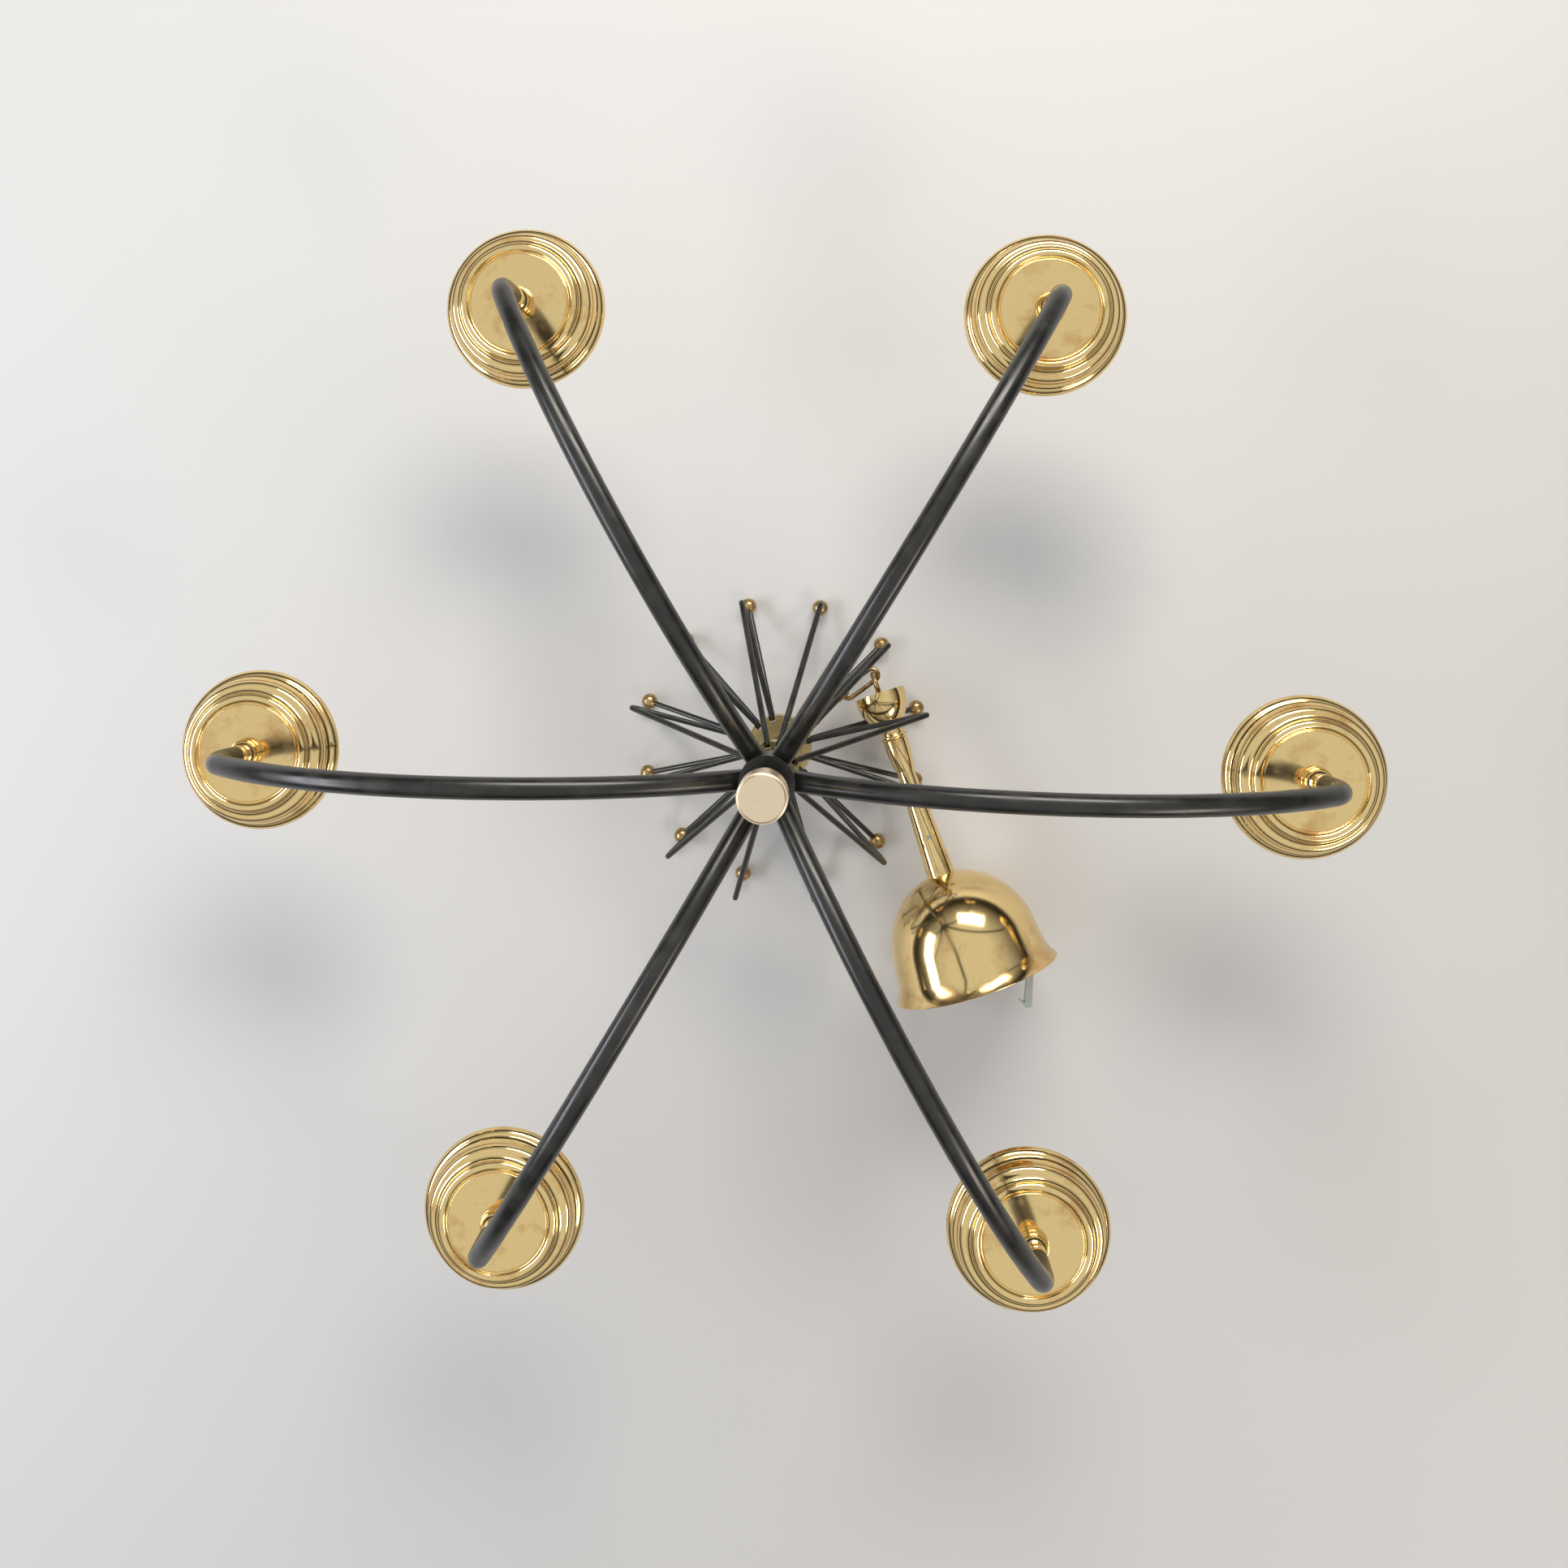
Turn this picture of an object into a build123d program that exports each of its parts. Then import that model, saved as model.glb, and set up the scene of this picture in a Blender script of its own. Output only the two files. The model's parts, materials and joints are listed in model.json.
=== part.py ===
"""Sputnik chandelier: six swept arms with brass cups, a double star of wires, and its loose stem.

The light lies on its back, as it is stored: the end cap looks up, the cups open downwards, and the
tips of the star and the rim of the ceiling canopy rest on the floor, z = 0. Millimetres, +Z up, with
the origin on the floor under the centre rod.
"""
import math
import os

from build123d import *

# ---------------------------------------------------------------- driving dimensions
arm_count = 6
star_count = 12
star_turn = 15.0            # the first star wire stands halfway between two arms' quarter points
fit_gap = 0.1               # between a threaded piece and what it screws into
seat_gap = 0.3              # between pieces that move past each other
floor_gap = 0.2             # under the canopy's rim

# centre column
rod_r = 5.0
rod_bore_r = 3.4
rod_bottom_z = 27.0
cap_r = 14.5
cap_height = 19.0
cap_edge = 1.6
cap_thread_depth = 11.0
cap_clearance = 1.0
column_top_z = 281.0
castle_height = 12.0        # the slotted collar under the end cap
castle_r = 13.0
castle_slot_w = 3.0
castle_slot_h = 6.0
arm_hub_r = 17.0
arm_hub_height = 26.0
arm_hub_edge = 2.0
spacer_r = 8.0
cap_spacer_length = 22.0
upper_spacer_length = 44.0
upper_collar_r = 17.0
upper_collar_height = 13.0
lower_collar_r = 24.0
lower_collar_height = 15.0
lower_collar_top_z = 54.0
collar_slot_depth = 5.0
collar_dish_depth = 3.0     # the ring-shaped hollow in the lower collar's upper face
collar_dish_wall = 2.5      # what it leaves standing behind the slots
collar_boss_w = 1.0         # and round the spacer
star_wire_inset = 1.6       # a slanted wire's end stays this far off the floor of its slot
far_seat_drop = 4.0
star_seat_rise = 4.0
locknut_flats = 17.0
locknut_height = 6.0

# arms
arm_r = 6.5
arm_wall = 1.2
arm_start_r = 13.0
arm_start_rise = 9.0        # from the hub's underside to the middle of the arm's root
arm_crown_r = 188.0         # the highest point of the arm's long arc
arm_crown_rise = 61.0       # how far it lies above the root
cup_circle_r = 349.0
elbow_run = 13.0            # the long arc runs into the elbow this far short of the cup's axis
elbow_rise = 3.0            # and this far above the root
arm_drop = 13.1             # the straight end below the elbow
wire_r = 2.7
wire_gap = 2.0              # the flex stops this far short of the hub and of the nipple's foot

# cups, necks and lampholders
cup_rim_r = 54.0
cup_height = 20.0
cup_wall = 1.2
cup_disc_r = 32.0           # the cup's flat middle
cup_groove_w = 1.8
cup_groove_depth = 0.7
cup_bead_w = 5.6            # the raised ring round the flat middle
cup_bead_rise = 1.6
cup_band_ends = ((42.6, 4.4), (47.6, 8.4), (50.2, 14.4))    # radius, and drop below the flat middle
cup_band_bulges = (-0.9, 1.5, -0.7)                         # hollow, round, hollow
cup_lip_bulge = 1.0
neck_height = 18.0
neck_foot_r = 10.0
neck_foot_height = 1.5
neck_flare_height = 10.0
neck_waist_r = 6.6
neck_flare_sag = 1.2
neck_bead_drop = 2.0        # from the neck's top edge to its bead
neck_bead_r = 8.6
neck_bead_height = 4.0
nipple_r = 4.7
nipple_bore_r = 3.0
nipple_reach = 12.0         # how far the nipple stands into the arm
holder_r = 11.0
holder_length = 38.0
holder_skirt_r = 13.0
holder_skirt_height = 5.0
holder_lip = 1.2
holder_lip_height = 2.5
holder_thread_depth = 8.0   # how far the nipple screws into the lampholder
socket_r = 7.0
socket_depth = 23.0
contact_r = 3.0
contact_height = 3.0

# star of hairpins and ball rods
hairpin_wire_r = 2.0
hairpin_tip_r = 107.0       # centre of the bend, from the column
hairpin_tip_z = 71.0
hairpin_bend_r = 3.2
star_rod_r = 2.0
star_ball_r = 6.0
star_ball_circle_r = 107.0
ball_flat_at = 5.5          # the rod's end seats on a flat this far from the ball's centre

# chain and hub eye
eye_major_r = 8.0
eye_wire_r = 2.0
eye_collar_r = 7.5
eye_neck_r = 3.0
eye_shank_length = 12.0
hub_eye_z = 16.0
link_wire_r = 1.7
link_bend_r = 4.6
link_count = 3

# stem and canopy: distances along the stem from its eye
stem_eye_x = 71.0
stem_eye_y = 47.0
stem_eye_z = 36.0
stem_end_x = 146.5
stem_end_y = -161.0
stem_r = 6.5
stem_bore_r = 5.0
bell_mouth = 7.0
bell_mouth_r = 19.0
bell_length = 25.0
bell_wall = 1.2
bell_neck_r = 8.4
bell_neck_length = 7.0
bell_bulge = 3.6
tube_in_bell = 6.0          # how far the stem's tube reaches down inside the bell
ring_nut_r = 10.0
ring_nut_length = 4.0
ring_nut_round = 1.4
cone_length = 24.0
cone_wide_r = 9.4
cone_narrow_r = 7.0
cone_bulge = 0.5
canopy_top = 146.0
canopy_height = 77.0
canopy_wall = 1.2
canopy_rim_r = 61.0
canopy_bowl_r = 53.2        # where the bell's round bowl ends
canopy_bowl_height = 46.0
canopy_bowl_bulge = 10.2
canopy_skirt_r = 55.6       # where its straight skirt ends and the lip flares out
canopy_skirt_height = 65.0
canopy_lip_bulge = 0.9
sleeve_length = 58.0
sleeve_wide_r = 10.4
sleeve_narrow_r = 7.6
set_screw_r = 1.5
set_screw_length = 6.0
hook_plate_at = 203.0
hook_plate_t = 3.0
hook_width = 8.0
hook_strip_t = 4.0
hook_root_p = 41.0          # from the stem's axis to the middle of the hook's strip
hook_tip_p = 29.0
hook_reach = 30.0           # how far the hook stands out of the canopy's rim
hook_barb_p = 19.0
hook_barb_back = 13.0
hook_boss_r = 9.0
hook_nipple_depth = 12.0
hook_nipple_stand = 1.0
hook_nut_r = 7.5            # half its width across the flats
hook_nut_length = 5.0

# ---------------------------------------------------------------- derived places
cap_base_z = column_top_z - cap_height
castle_base_z = cap_base_z - castle_height
arm_hub_top_z = castle_base_z - cap_spacer_length
arm_hub_base_z = arm_hub_top_z - arm_hub_height
upper_collar_top_z = arm_hub_base_z - upper_spacer_length
upper_collar_base_z = upper_collar_top_z - upper_collar_height
lower_collar_base_z = lower_collar_top_z - lower_collar_height
rod_top_z = cap_base_z + cap_thread_depth - cap_clearance
clear_rod_r = rod_r + fit_gap
arm_angles = [360.0 / arm_count * i for i in range(arm_count)]
star_angles = [star_turn + 360.0 / star_count * i for i in range(star_count)]

os.makedirs("parts", exist_ok=True)


def save(builder, name):
    """Label a finished piece and write it as its own node."""
    builder.part.label = name
    export_step(builder.part, f"parts/{name}.step")


def radial_plane(angle):
    """The upright plane through the column at this angle: x runs outwards, y runs up."""
    out = Vector(math.cos(math.radians(angle)), math.sin(math.radians(angle)), 0)
    return Plane(origin=(0, 0, 0), x_dir=out, z_dir=out.cross(Vector(0, 0, 1)))


def cup_axis(angle, z):
    """A level plane over the centre of the cup on this arm."""
    x = cup_circle_r * math.cos(math.radians(angle))
    y = cup_circle_r * math.sin(math.radians(angle))
    return Plane(origin=(x, y, z))


# ---------------------------------------------------------------- centre column
with BuildPart() as centre_rod:
    with BuildSketch(Plane.XY.offset(rod_bottom_z)):
        Circle(rod_r)
        Circle(rod_bore_r, mode=Mode.SUBTRACT)
    extrude(amount=rod_top_z - rod_bottom_z)
save(centre_rod, "centre_rod")

with BuildPart() as end_cap:
    with BuildSketch(Plane.XY.offset(cap_base_z)):
        Circle(cap_r)
    extrude(amount=cap_height)
    fillet(end_cap.edges().group_by(Axis.Z)[-1], cap_edge)
    with BuildSketch(Plane.XY.offset(cap_base_z)):
        Circle(clear_rod_r)
    extrude(amount=cap_thread_depth, mode=Mode.SUBTRACT)
save(end_cap, "end_cap")

with BuildPart() as castle_collar:
    with BuildSketch(Plane.XY.offset(castle_base_z)):
        Circle(castle_r)
        Circle(clear_rod_r, mode=Mode.SUBTRACT)
    extrude(amount=castle_height)
    with BuildSketch(Plane.XY.offset(cap_base_z - castle_slot_h)):
        with PolarLocations(castle_r, star_count, start_angle=star_turn):
            Rectangle(castle_r, castle_slot_w)
    extrude(amount=castle_slot_h, mode=Mode.SUBTRACT)
save(castle_collar, "castle_collar")

with BuildPart() as cap_spacer:
    with BuildSketch(Plane.XY.offset(arm_hub_top_z)):
        Circle(spacer_r)
        Circle(clear_rod_r, mode=Mode.SUBTRACT)
    extrude(amount=cap_spacer_length)
save(cap_spacer, "cap_spacer")

with BuildPart() as arm_hub:
    with BuildSketch(Plane.XY.offset(arm_hub_base_z)):
        Circle(arm_hub_r)
        Circle(clear_rod_r, mode=Mode.SUBTRACT)
    extrude(amount=arm_hub_height)
    chamfer(arm_hub.edges().group_by(Axis.Z)[0].sort_by(SortBy.LENGTH)[-1], arm_hub_edge)
save(arm_hub, "arm_hub")

with BuildPart() as upper_spacer:
    with BuildSketch(Plane.XY.offset(upper_collar_top_z)):
        Circle(spacer_r)
        Circle(clear_rod_r, mode=Mode.SUBTRACT)
    extrude(amount=upper_spacer_length)
save(upper_spacer, "upper_spacer")

with BuildPart() as lower_spacer:
    with BuildSketch(Plane.XY.offset(lower_collar_top_z)):
        Circle(spacer_r)
        Circle(clear_rod_r, mode=Mode.SUBTRACT)
    extrude(amount=upper_collar_base_z - lower_collar_top_z)
save(lower_spacer, "lower_spacer")

with BuildPart() as lock_nut:
    with BuildSketch(Plane.XY.offset(lower_collar_base_z - locknut_height)):
        RegularPolygon(locknut_flats / 2, 6, major_radius=False)
        Circle(clear_rod_r, mode=Mode.SUBTRACT)
    extrude(amount=locknut_height)
save(lock_nut, "lock_nut")

# ---------------------------------------------------------------- collars that hold the star
hairpin_seat_r = upper_collar_r - collar_slot_depth + star_wire_inset
hairpin_seat_z = upper_collar_base_z + upper_collar_height / 2
far_seat_r = lower_collar_r - collar_slot_depth + star_wire_inset
far_seat_z = lower_collar_top_z - far_seat_drop
star_seat_z = lower_collar_base_z + star_seat_rise
slot_half = hairpin_wire_r + fit_gap


def collar(base_z, height, radius):
    """A turned brass collar, slotted all round its edge for the ends of the star's wires."""
    with BuildPart() as ring:
        with BuildSketch(Plane.XY.offset(base_z)):
            Circle(radius)
            Circle(clear_rod_r, mode=Mode.SUBTRACT)
            with PolarLocations(radius, star_count, start_angle=star_turn):
                Rectangle(2 * collar_slot_depth, 2 * slot_half, mode=Mode.SUBTRACT)
        extrude(amount=height)
    return ring


upper_collar = collar(upper_collar_base_z, upper_collar_height, upper_collar_r)
save(upper_collar, "upper_collar")
lower_ring = collar(lower_collar_base_z, lower_collar_height, lower_collar_r)
with BuildPart() as lower_collar:
    add(lower_ring.part)
    with BuildSketch(Plane.XY.offset(lower_collar_top_z)):
        Circle(lower_collar_r - collar_slot_depth - collar_dish_wall)
        Circle(spacer_r + collar_boss_w, mode=Mode.SUBTRACT)
    extrude(amount=-collar_dish_depth, mode=Mode.SUBTRACT)
save(lower_collar, "lower_collar")

# ---------------------------------------------------------------- arms
def tangent_at_end(a, b, c):
    """Unit direction, in (r, z), in which the arc through a, b and c leaves c."""
    ax, ay = a[0] - c[0], a[1] - c[1]
    bx, by = b[0] - c[0], b[1] - c[1]
    twice_area = 2 * (ax * by - ay * bx)
    ux = (by * (ax * ax + ay * ay) - ay * (bx * bx + by * by)) / twice_area
    uy = (ax * (bx * bx + by * by) - bx * (ax * ax + ay * ay)) / twice_area
    length = math.hypot(ux, uy)
    return (-uy / length, ux / length) if uy < 0 else (uy / length, -ux / length)


arm_start_z = arm_hub_base_z + arm_start_rise
arm_start = (arm_start_r, arm_start_z)
arm_crown = (arm_crown_r, arm_start_z + arm_crown_rise)
arm_fall = (cup_circle_r - elbow_run, arm_start_z + elbow_rise)
fall_out, fall_up = tangent_at_end(arm_start, arm_crown, arm_fall)
elbow_r = elbow_run / (1 + fall_up)
elbow_foot_z = arm_fall[1] - elbow_r * fall_out
elbow_half_turn = (math.acos(-fall_up)) / 2
elbow_centre = (cup_circle_r - elbow_r, elbow_foot_z)
elbow_mid = (elbow_centre[0] + elbow_r * math.cos(elbow_half_turn),
             elbow_centre[1] + elbow_r * math.sin(elbow_half_turn))
arm_end_z = elbow_foot_z - arm_drop
cup_base_z = arm_end_z - neck_height
cup_rim_z = cup_base_z - cup_height
holder_top_z = cup_base_z - cup_wall
holder_bottom_z = holder_top_z - holder_length
nipple_foot_z = holder_top_z - holder_thread_depth
contact_base_z = holder_bottom_z + socket_depth
print("elbow radius", round(elbow_r, 1), "arm end", round(arm_end_z, 3), "rim", round(cup_rim_z, 3))


def at(angle, point):
    """A point given as (distance from the column, height), in space at this angle."""
    turn = math.radians(angle)
    return (point[0] * math.cos(turn), point[0] * math.sin(turn), point[1])


def arm_path(angle, end_z):
    """The arm's centre line: one long arc over its crown, a tight elbow, and a drop to end_z."""
    with BuildLine() as path:
        ThreePointArc(at(angle, arm_start), at(angle, arm_crown), at(angle, arm_fall))
        ThreePointArc(at(angle, arm_fall), at(angle, elbow_mid), at(angle, (cup_circle_r, elbow_foot_z)))
        Line(at(angle, (cup_circle_r, elbow_foot_z)), at(angle, (cup_circle_r, end_z)))
    return path


with BuildPart() as hub_core:
    with BuildSketch(Plane.XY.offset(arm_hub_base_z)):
        Circle(arm_hub_r)
    extrude(amount=arm_hub_height)

for number, angle in enumerate(arm_angles, start=1):
    with BuildPart() as arm:
        arm_line = arm_path(angle, arm_end_z)
        with BuildSketch(arm_line.line ^ 0):
            Circle(arm_r)
            Circle(arm_r - arm_wall, mode=Mode.SUBTRACT)
        sweep(path=arm_line.line)
        add(hub_core.part, mode=Mode.SUBTRACT)
    save(arm, f"arm_{number}")

wire_start_r = arm_hub_r + wire_gap
with BuildPart() as arm_wires:
    with BuildPart(mode=Mode.PRIVATE) as wire_trim:
        with BuildSketch(Plane.XY.offset(arm_hub_base_z - wire_gap)):
            Circle(wire_start_r)
        extrude(amount=arm_hub_height + 2 * wire_gap)
    for angle in arm_angles:
        wire_line = arm_path(angle, nipple_foot_z + wire_gap)
        with BuildSketch(wire_line.line ^ 0):
            Circle(wire_r)
        sweep(path=wire_line.line)
    add(wire_trim.part, mode=Mode.SUBTRACT)
save(arm_wires, "arm_wires")

# ---------------------------------------------------------------- cups and what holds the bulbs
clear_nipple_r = nipple_r + fit_gap
cup_groove_r = cup_disc_r + cup_groove_w
cup_bead_r = cup_groove_r + cup_bead_w

with BuildSketch() as cup_outline:
    with BuildLine():
        Line((clear_nipple_r, cup_height), (cup_disc_r, cup_height))
        SagittaArc((cup_disc_r, cup_height), (cup_groove_r, cup_height), -cup_groove_depth)
        SagittaArc((cup_groove_r, cup_height), (cup_bead_r, cup_height), cup_bead_rise)
        band_start = (cup_bead_r, cup_height)
        for (band_r, band_drop), bulge in zip(cup_band_ends, cup_band_bulges):
            SagittaArc(band_start, (band_r, cup_height - band_drop), bulge)
            band_start = (band_r, cup_height - band_drop)
        SagittaArc(band_start, (cup_rim_r, 0), cup_lip_bulge)
        offset(amount=cup_wall, side=Side.RIGHT)
    make_face()

neck_bead_top = neck_height - neck_bead_drop
neck_bead_foot = neck_bead_top - neck_bead_height
with BuildSketch() as neck_outline:
    with BuildLine():
        Polyline((clear_nipple_r, neck_height), (clear_nipple_r, 0), (neck_foot_r, 0),
                 (neck_foot_r, neck_foot_height))
        SagittaArc((neck_foot_r, neck_foot_height), (neck_waist_r, neck_flare_height), neck_flare_sag)
        Line((neck_waist_r, neck_flare_height), (neck_waist_r, neck_bead_foot))
        SagittaArc((neck_waist_r, neck_bead_foot), (neck_waist_r, neck_bead_top),
                   neck_waist_r - neck_bead_r)
        Polyline((neck_waist_r, neck_bead_top), (neck_waist_r, neck_height), (clear_nipple_r, neck_height))
    make_face()

for number, angle in enumerate(arm_angles, start=1):
    rim_plane = cup_axis(angle, cup_rim_z)
    out = radial_plane(angle)
    with BuildPart() as cup:
        with BuildSketch(Plane(origin=rim_plane.origin, x_dir=out.x_dir, z_dir=out.z_dir)):
            add(cup_outline.sketch)
        revolve(axis=Axis(rim_plane.origin, (0, 0, 1)))
    save(cup, f"cup_{number}")

    with BuildPart() as neck:
        with BuildSketch(Plane(origin=cup_axis(angle, cup_base_z).origin, x_dir=out.x_dir, z_dir=out.z_dir)):
            add(neck_outline.sketch)
        revolve(axis=Axis(rim_plane.origin, (0, 0, 1)))
    save(neck, f"cup_neck_{number}")

with BuildPart() as nipples:
    for angle in arm_angles:
        with BuildSketch(cup_axis(angle, nipple_foot_z)):
            Circle(nipple_r)
            Circle(nipple_bore_r, mode=Mode.SUBTRACT)
        extrude(amount=arm_end_z + nipple_reach - nipple_foot_z)
save(nipples, "nipples")

for number, angle in enumerate(arm_angles, start=1):
    with BuildPart() as holder:
        with BuildSketch(cup_axis(angle, holder_bottom_z)):
            Circle(holder_r)
        extrude(amount=holder_length)
        with BuildSketch(cup_axis(angle, holder_top_z - holder_skirt_height)):
            Circle(holder_skirt_r)
        extrude(amount=holder_skirt_height)
        with BuildSketch(cup_axis(angle, holder_bottom_z)):
            Circle(holder_r + holder_lip)
        extrude(amount=holder_lip_height)
        with BuildSketch(cup_axis(angle, holder_bottom_z)):
            Circle(socket_r)
        extrude(amount=socket_depth, mode=Mode.SUBTRACT)
        with BuildSketch(cup_axis(angle, contact_base_z)):
            Circle(contact_r + fit_gap)
        extrude(amount=contact_height, mode=Mode.SUBTRACT)
        with BuildSketch(cup_axis(angle, nipple_foot_z)):
            Circle(clear_nipple_r)
        extrude(amount=holder_top_z - nipple_foot_z, mode=Mode.SUBTRACT)
    save(holder, f"lampholder_{number}")

with BuildPart() as contacts:
    for angle in arm_angles:
        with BuildSketch(cup_axis(angle, contact_base_z)):
            Circle(contact_r)
        extrude(amount=contact_height)
save(contacts, "centre_contacts")

# ---------------------------------------------------------------- the star
def tangent_point(start, centre, radius, side):
    """Where a straight leg from start touches a bend of this radius; side is +1 above, -1 below."""
    dx, dz = centre[0] - start[0], centre[1] - start[1]
    reach = math.hypot(dx, dz)
    lean = math.atan2(dz, dx) + side * math.asin(radius / reach)
    run = math.sqrt(reach * reach - radius * radius)
    return (start[0] + run * math.cos(lean), start[1] + run * math.sin(lean))


hairpin_tip = (hairpin_tip_r, hairpin_tip_z)
near_seat = (hairpin_seat_r, hairpin_seat_z)
far_seat = (far_seat_r, far_seat_z)
near_touch = tangent_point(near_seat, hairpin_tip, hairpin_bend_r, 1)
far_touch = tangent_point(far_seat, hairpin_tip, hairpin_bend_r, -1)
with BuildPart() as hairpins:
    for angle in star_angles:
        with BuildLine() as hairpin_line:
            Line(at(angle, near_seat), at(angle, near_touch))
            ThreePointArc(at(angle, near_touch), at(angle, (hairpin_tip_r + hairpin_bend_r, hairpin_tip_z)),
                          at(angle, far_touch))
            Line(at(angle, far_touch), at(angle, far_seat))
        with BuildSketch(hairpin_line.line ^ 0):
            Circle(hairpin_wire_r)
        sweep(path=hairpin_line.line)
save(hairpins, "hairpins")

star_seat = (far_seat_r, star_seat_z)
star_ball = (star_ball_circle_r, star_ball_r)
with BuildPart() as star_rods:
    for angle in star_angles:
        seat = Vector(*at(angle, star_seat))
        centre = Vector(*at(angle, star_ball))
        with BuildSketch(Plane(origin=seat, z_dir=centre - seat)):
            Circle(star_rod_r)
        extrude(amount=(centre - seat).length - ball_flat_at)
save(star_rods, "star_rods")

ball_flat_r = math.sqrt(star_ball_r ** 2 - ball_flat_at ** 2)
with BuildPart() as star_balls:
    for angle in star_angles:
        seat = Vector(*at(angle, star_seat))
        centre = Vector(*at(angle, star_ball))
        inward = (seat - centre).normalized()
        with BuildSketch(Plane(origin=centre, x_dir=inward, z_dir=radial_plane(angle).z_dir)):
            with BuildLine():
                ThreePointArc((-star_ball_r, 0), (0, star_ball_r), (ball_flat_at, ball_flat_r))
                Polyline((ball_flat_at, ball_flat_r), (ball_flat_at, 0), (-star_ball_r, 0))
            make_face()
        revolve(axis=Axis(centre, inward))
save(star_balls, "star_balls")

# ---------------------------------------------------------------- the stem's own frame
canopy_rim_at = canopy_top + canopy_height
reach = math.hypot(canopy_rim_r, canopy_rim_at)
stem_tilt = math.acos((stem_eye_z - floor_gap) / reach) - math.atan2(canopy_rim_at, canopy_rim_r)
stem_heading = math.atan2(stem_end_y - stem_eye_y, stem_end_x - stem_eye_x)
stem_dir = Vector(math.cos(stem_heading) * math.cos(stem_tilt),
                  math.sin(stem_heading) * math.cos(stem_tilt), math.sin(stem_tilt))
stem_side = Vector(-math.sin(stem_heading), math.cos(stem_heading), 0)
stem_up = stem_dir.cross(stem_side)
stem_eye_at = Vector(stem_eye_x, stem_eye_y, stem_eye_z)
print("stem tilt", round(math.degrees(stem_tilt), 2), "heading", round(math.degrees(stem_heading), 2))


def stem_plane(distance):
    """A plane square to the stem, this far along it from its eye."""
    return Plane(origin=stem_eye_at + stem_dir * distance, x_dir=stem_side, z_dir=stem_dir)


# x runs along the stem and y out from it, for profiles that are turned about its axis
stem_section = Plane(origin=stem_eye_at, x_dir=stem_dir, z_dir=stem_up)
stem_axis = Axis(stem_eye_at, stem_dir)

bell_end = bell_mouth + bell_length
tube_start = bell_end - tube_in_bell
ring_nut_at = bell_end + bell_neck_length
cone_at = ring_nut_at + ring_nut_length
tube_end = hook_plate_at
clear_stem_r = stem_r + fit_gap

with BuildPart() as stem_tube:
    with BuildSketch(stem_plane(tube_start)):
        Circle(stem_r)
        Circle(stem_bore_r, mode=Mode.SUBTRACT)
    extrude(amount=tube_end - tube_start)
save(stem_tube, "stem_tube")

with BuildPart() as stem_bell:
    with BuildSketch(stem_section):
        with BuildLine():
            inner_end = bell_end - bell_wall
            SagittaArc((bell_mouth, bell_mouth_r), (bell_end, bell_neck_r), bell_bulge)
            Polyline((bell_end, bell_neck_r), (ring_nut_at, bell_neck_r), (ring_nut_at, clear_stem_r),
                     (inner_end, clear_stem_r))
            SagittaArc((inner_end, clear_stem_r), (bell_mouth, bell_mouth_r - bell_wall), -bell_bulge)
            Line((bell_mouth, bell_mouth_r - bell_wall), (bell_mouth, bell_mouth_r))
        make_face()
    revolve(axis=stem_axis)
save(stem_bell, "stem_bell")

with BuildPart() as ring_nut:
    with BuildSketch(stem_plane(ring_nut_at)):
        Circle(ring_nut_r)
        Circle(clear_stem_r, mode=Mode.SUBTRACT)
    extrude(amount=ring_nut_length)
    fillet(ring_nut.edges().filter_by(GeomType.CIRCLE).sort_by(SortBy.RADIUS)[-2:], ring_nut_round)
save(ring_nut, "ring_nut")

with BuildPart() as stem_cone:
    with BuildSketch(stem_section):
        with BuildLine():
            cone_end = cone_at + cone_length
            Line((cone_at, clear_stem_r), (cone_at, cone_wide_r))
            SagittaArc((cone_at, cone_wide_r), (cone_end, cone_narrow_r), cone_bulge)
            Polyline((cone_end, cone_narrow_r), (cone_end, clear_stem_r), (cone_at, clear_stem_r))
        make_face()
    revolve(axis=stem_axis)
save(stem_cone, "stem_cone")

eye_shank_r = stem_bore_r - fit_gap
with BuildPart() as stem_eye:
    with BuildSketch(stem_section):
        with Locations((eye_major_r, 0)):
            Circle(eye_wire_r)
    revolve(axis=Axis(stem_eye_at, stem_side))
    with BuildSketch(stem_plane(eye_major_r)):
        Circle(eye_neck_r)
    extrude(amount=tube_start - eye_major_r)
    with BuildSketch(stem_plane(tube_start)):
        Circle(eye_shank_r)
    extrude(amount=eye_shank_length)
save(stem_eye, "stem_eye")

# ---------------------------------------------------------------- canopy, sleeve and ceiling hook
with BuildPart() as canopy:
    with BuildSketch(stem_section):
        with BuildLine():
            bowl_end = canopy_top + canopy_bowl_height
            skirt_end = canopy_top + canopy_skirt_height
            inner_top = canopy_top + canopy_wall
            Line((canopy_top, clear_stem_r), (canopy_top, sleeve_wide_r))
            SagittaArc((canopy_top, sleeve_wide_r), (bowl_end, canopy_bowl_r), canopy_bowl_bulge)
            Line((bowl_end, canopy_bowl_r), (skirt_end, canopy_skirt_r))
            SagittaArc((skirt_end, canopy_skirt_r), (canopy_rim_at, canopy_rim_r), -canopy_lip_bulge)
            Line((canopy_rim_at, canopy_rim_r), (canopy_rim_at, canopy_rim_r - canopy_wall))
            SagittaArc((canopy_rim_at, canopy_rim_r - canopy_wall), (skirt_end, canopy_skirt_r - canopy_wall),
                       canopy_lip_bulge)
            Line((skirt_end, canopy_skirt_r - canopy_wall), (bowl_end, canopy_bowl_r - canopy_wall))
            SagittaArc((bowl_end, canopy_bowl_r - canopy_wall), (inner_top, sleeve_wide_r), -canopy_bowl_bulge)
            Polyline((inner_top, sleeve_wide_r), (inner_top, clear_stem_r), (canopy_top, clear_stem_r))
        make_face()
    revolve(axis=stem_axis)
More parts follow.
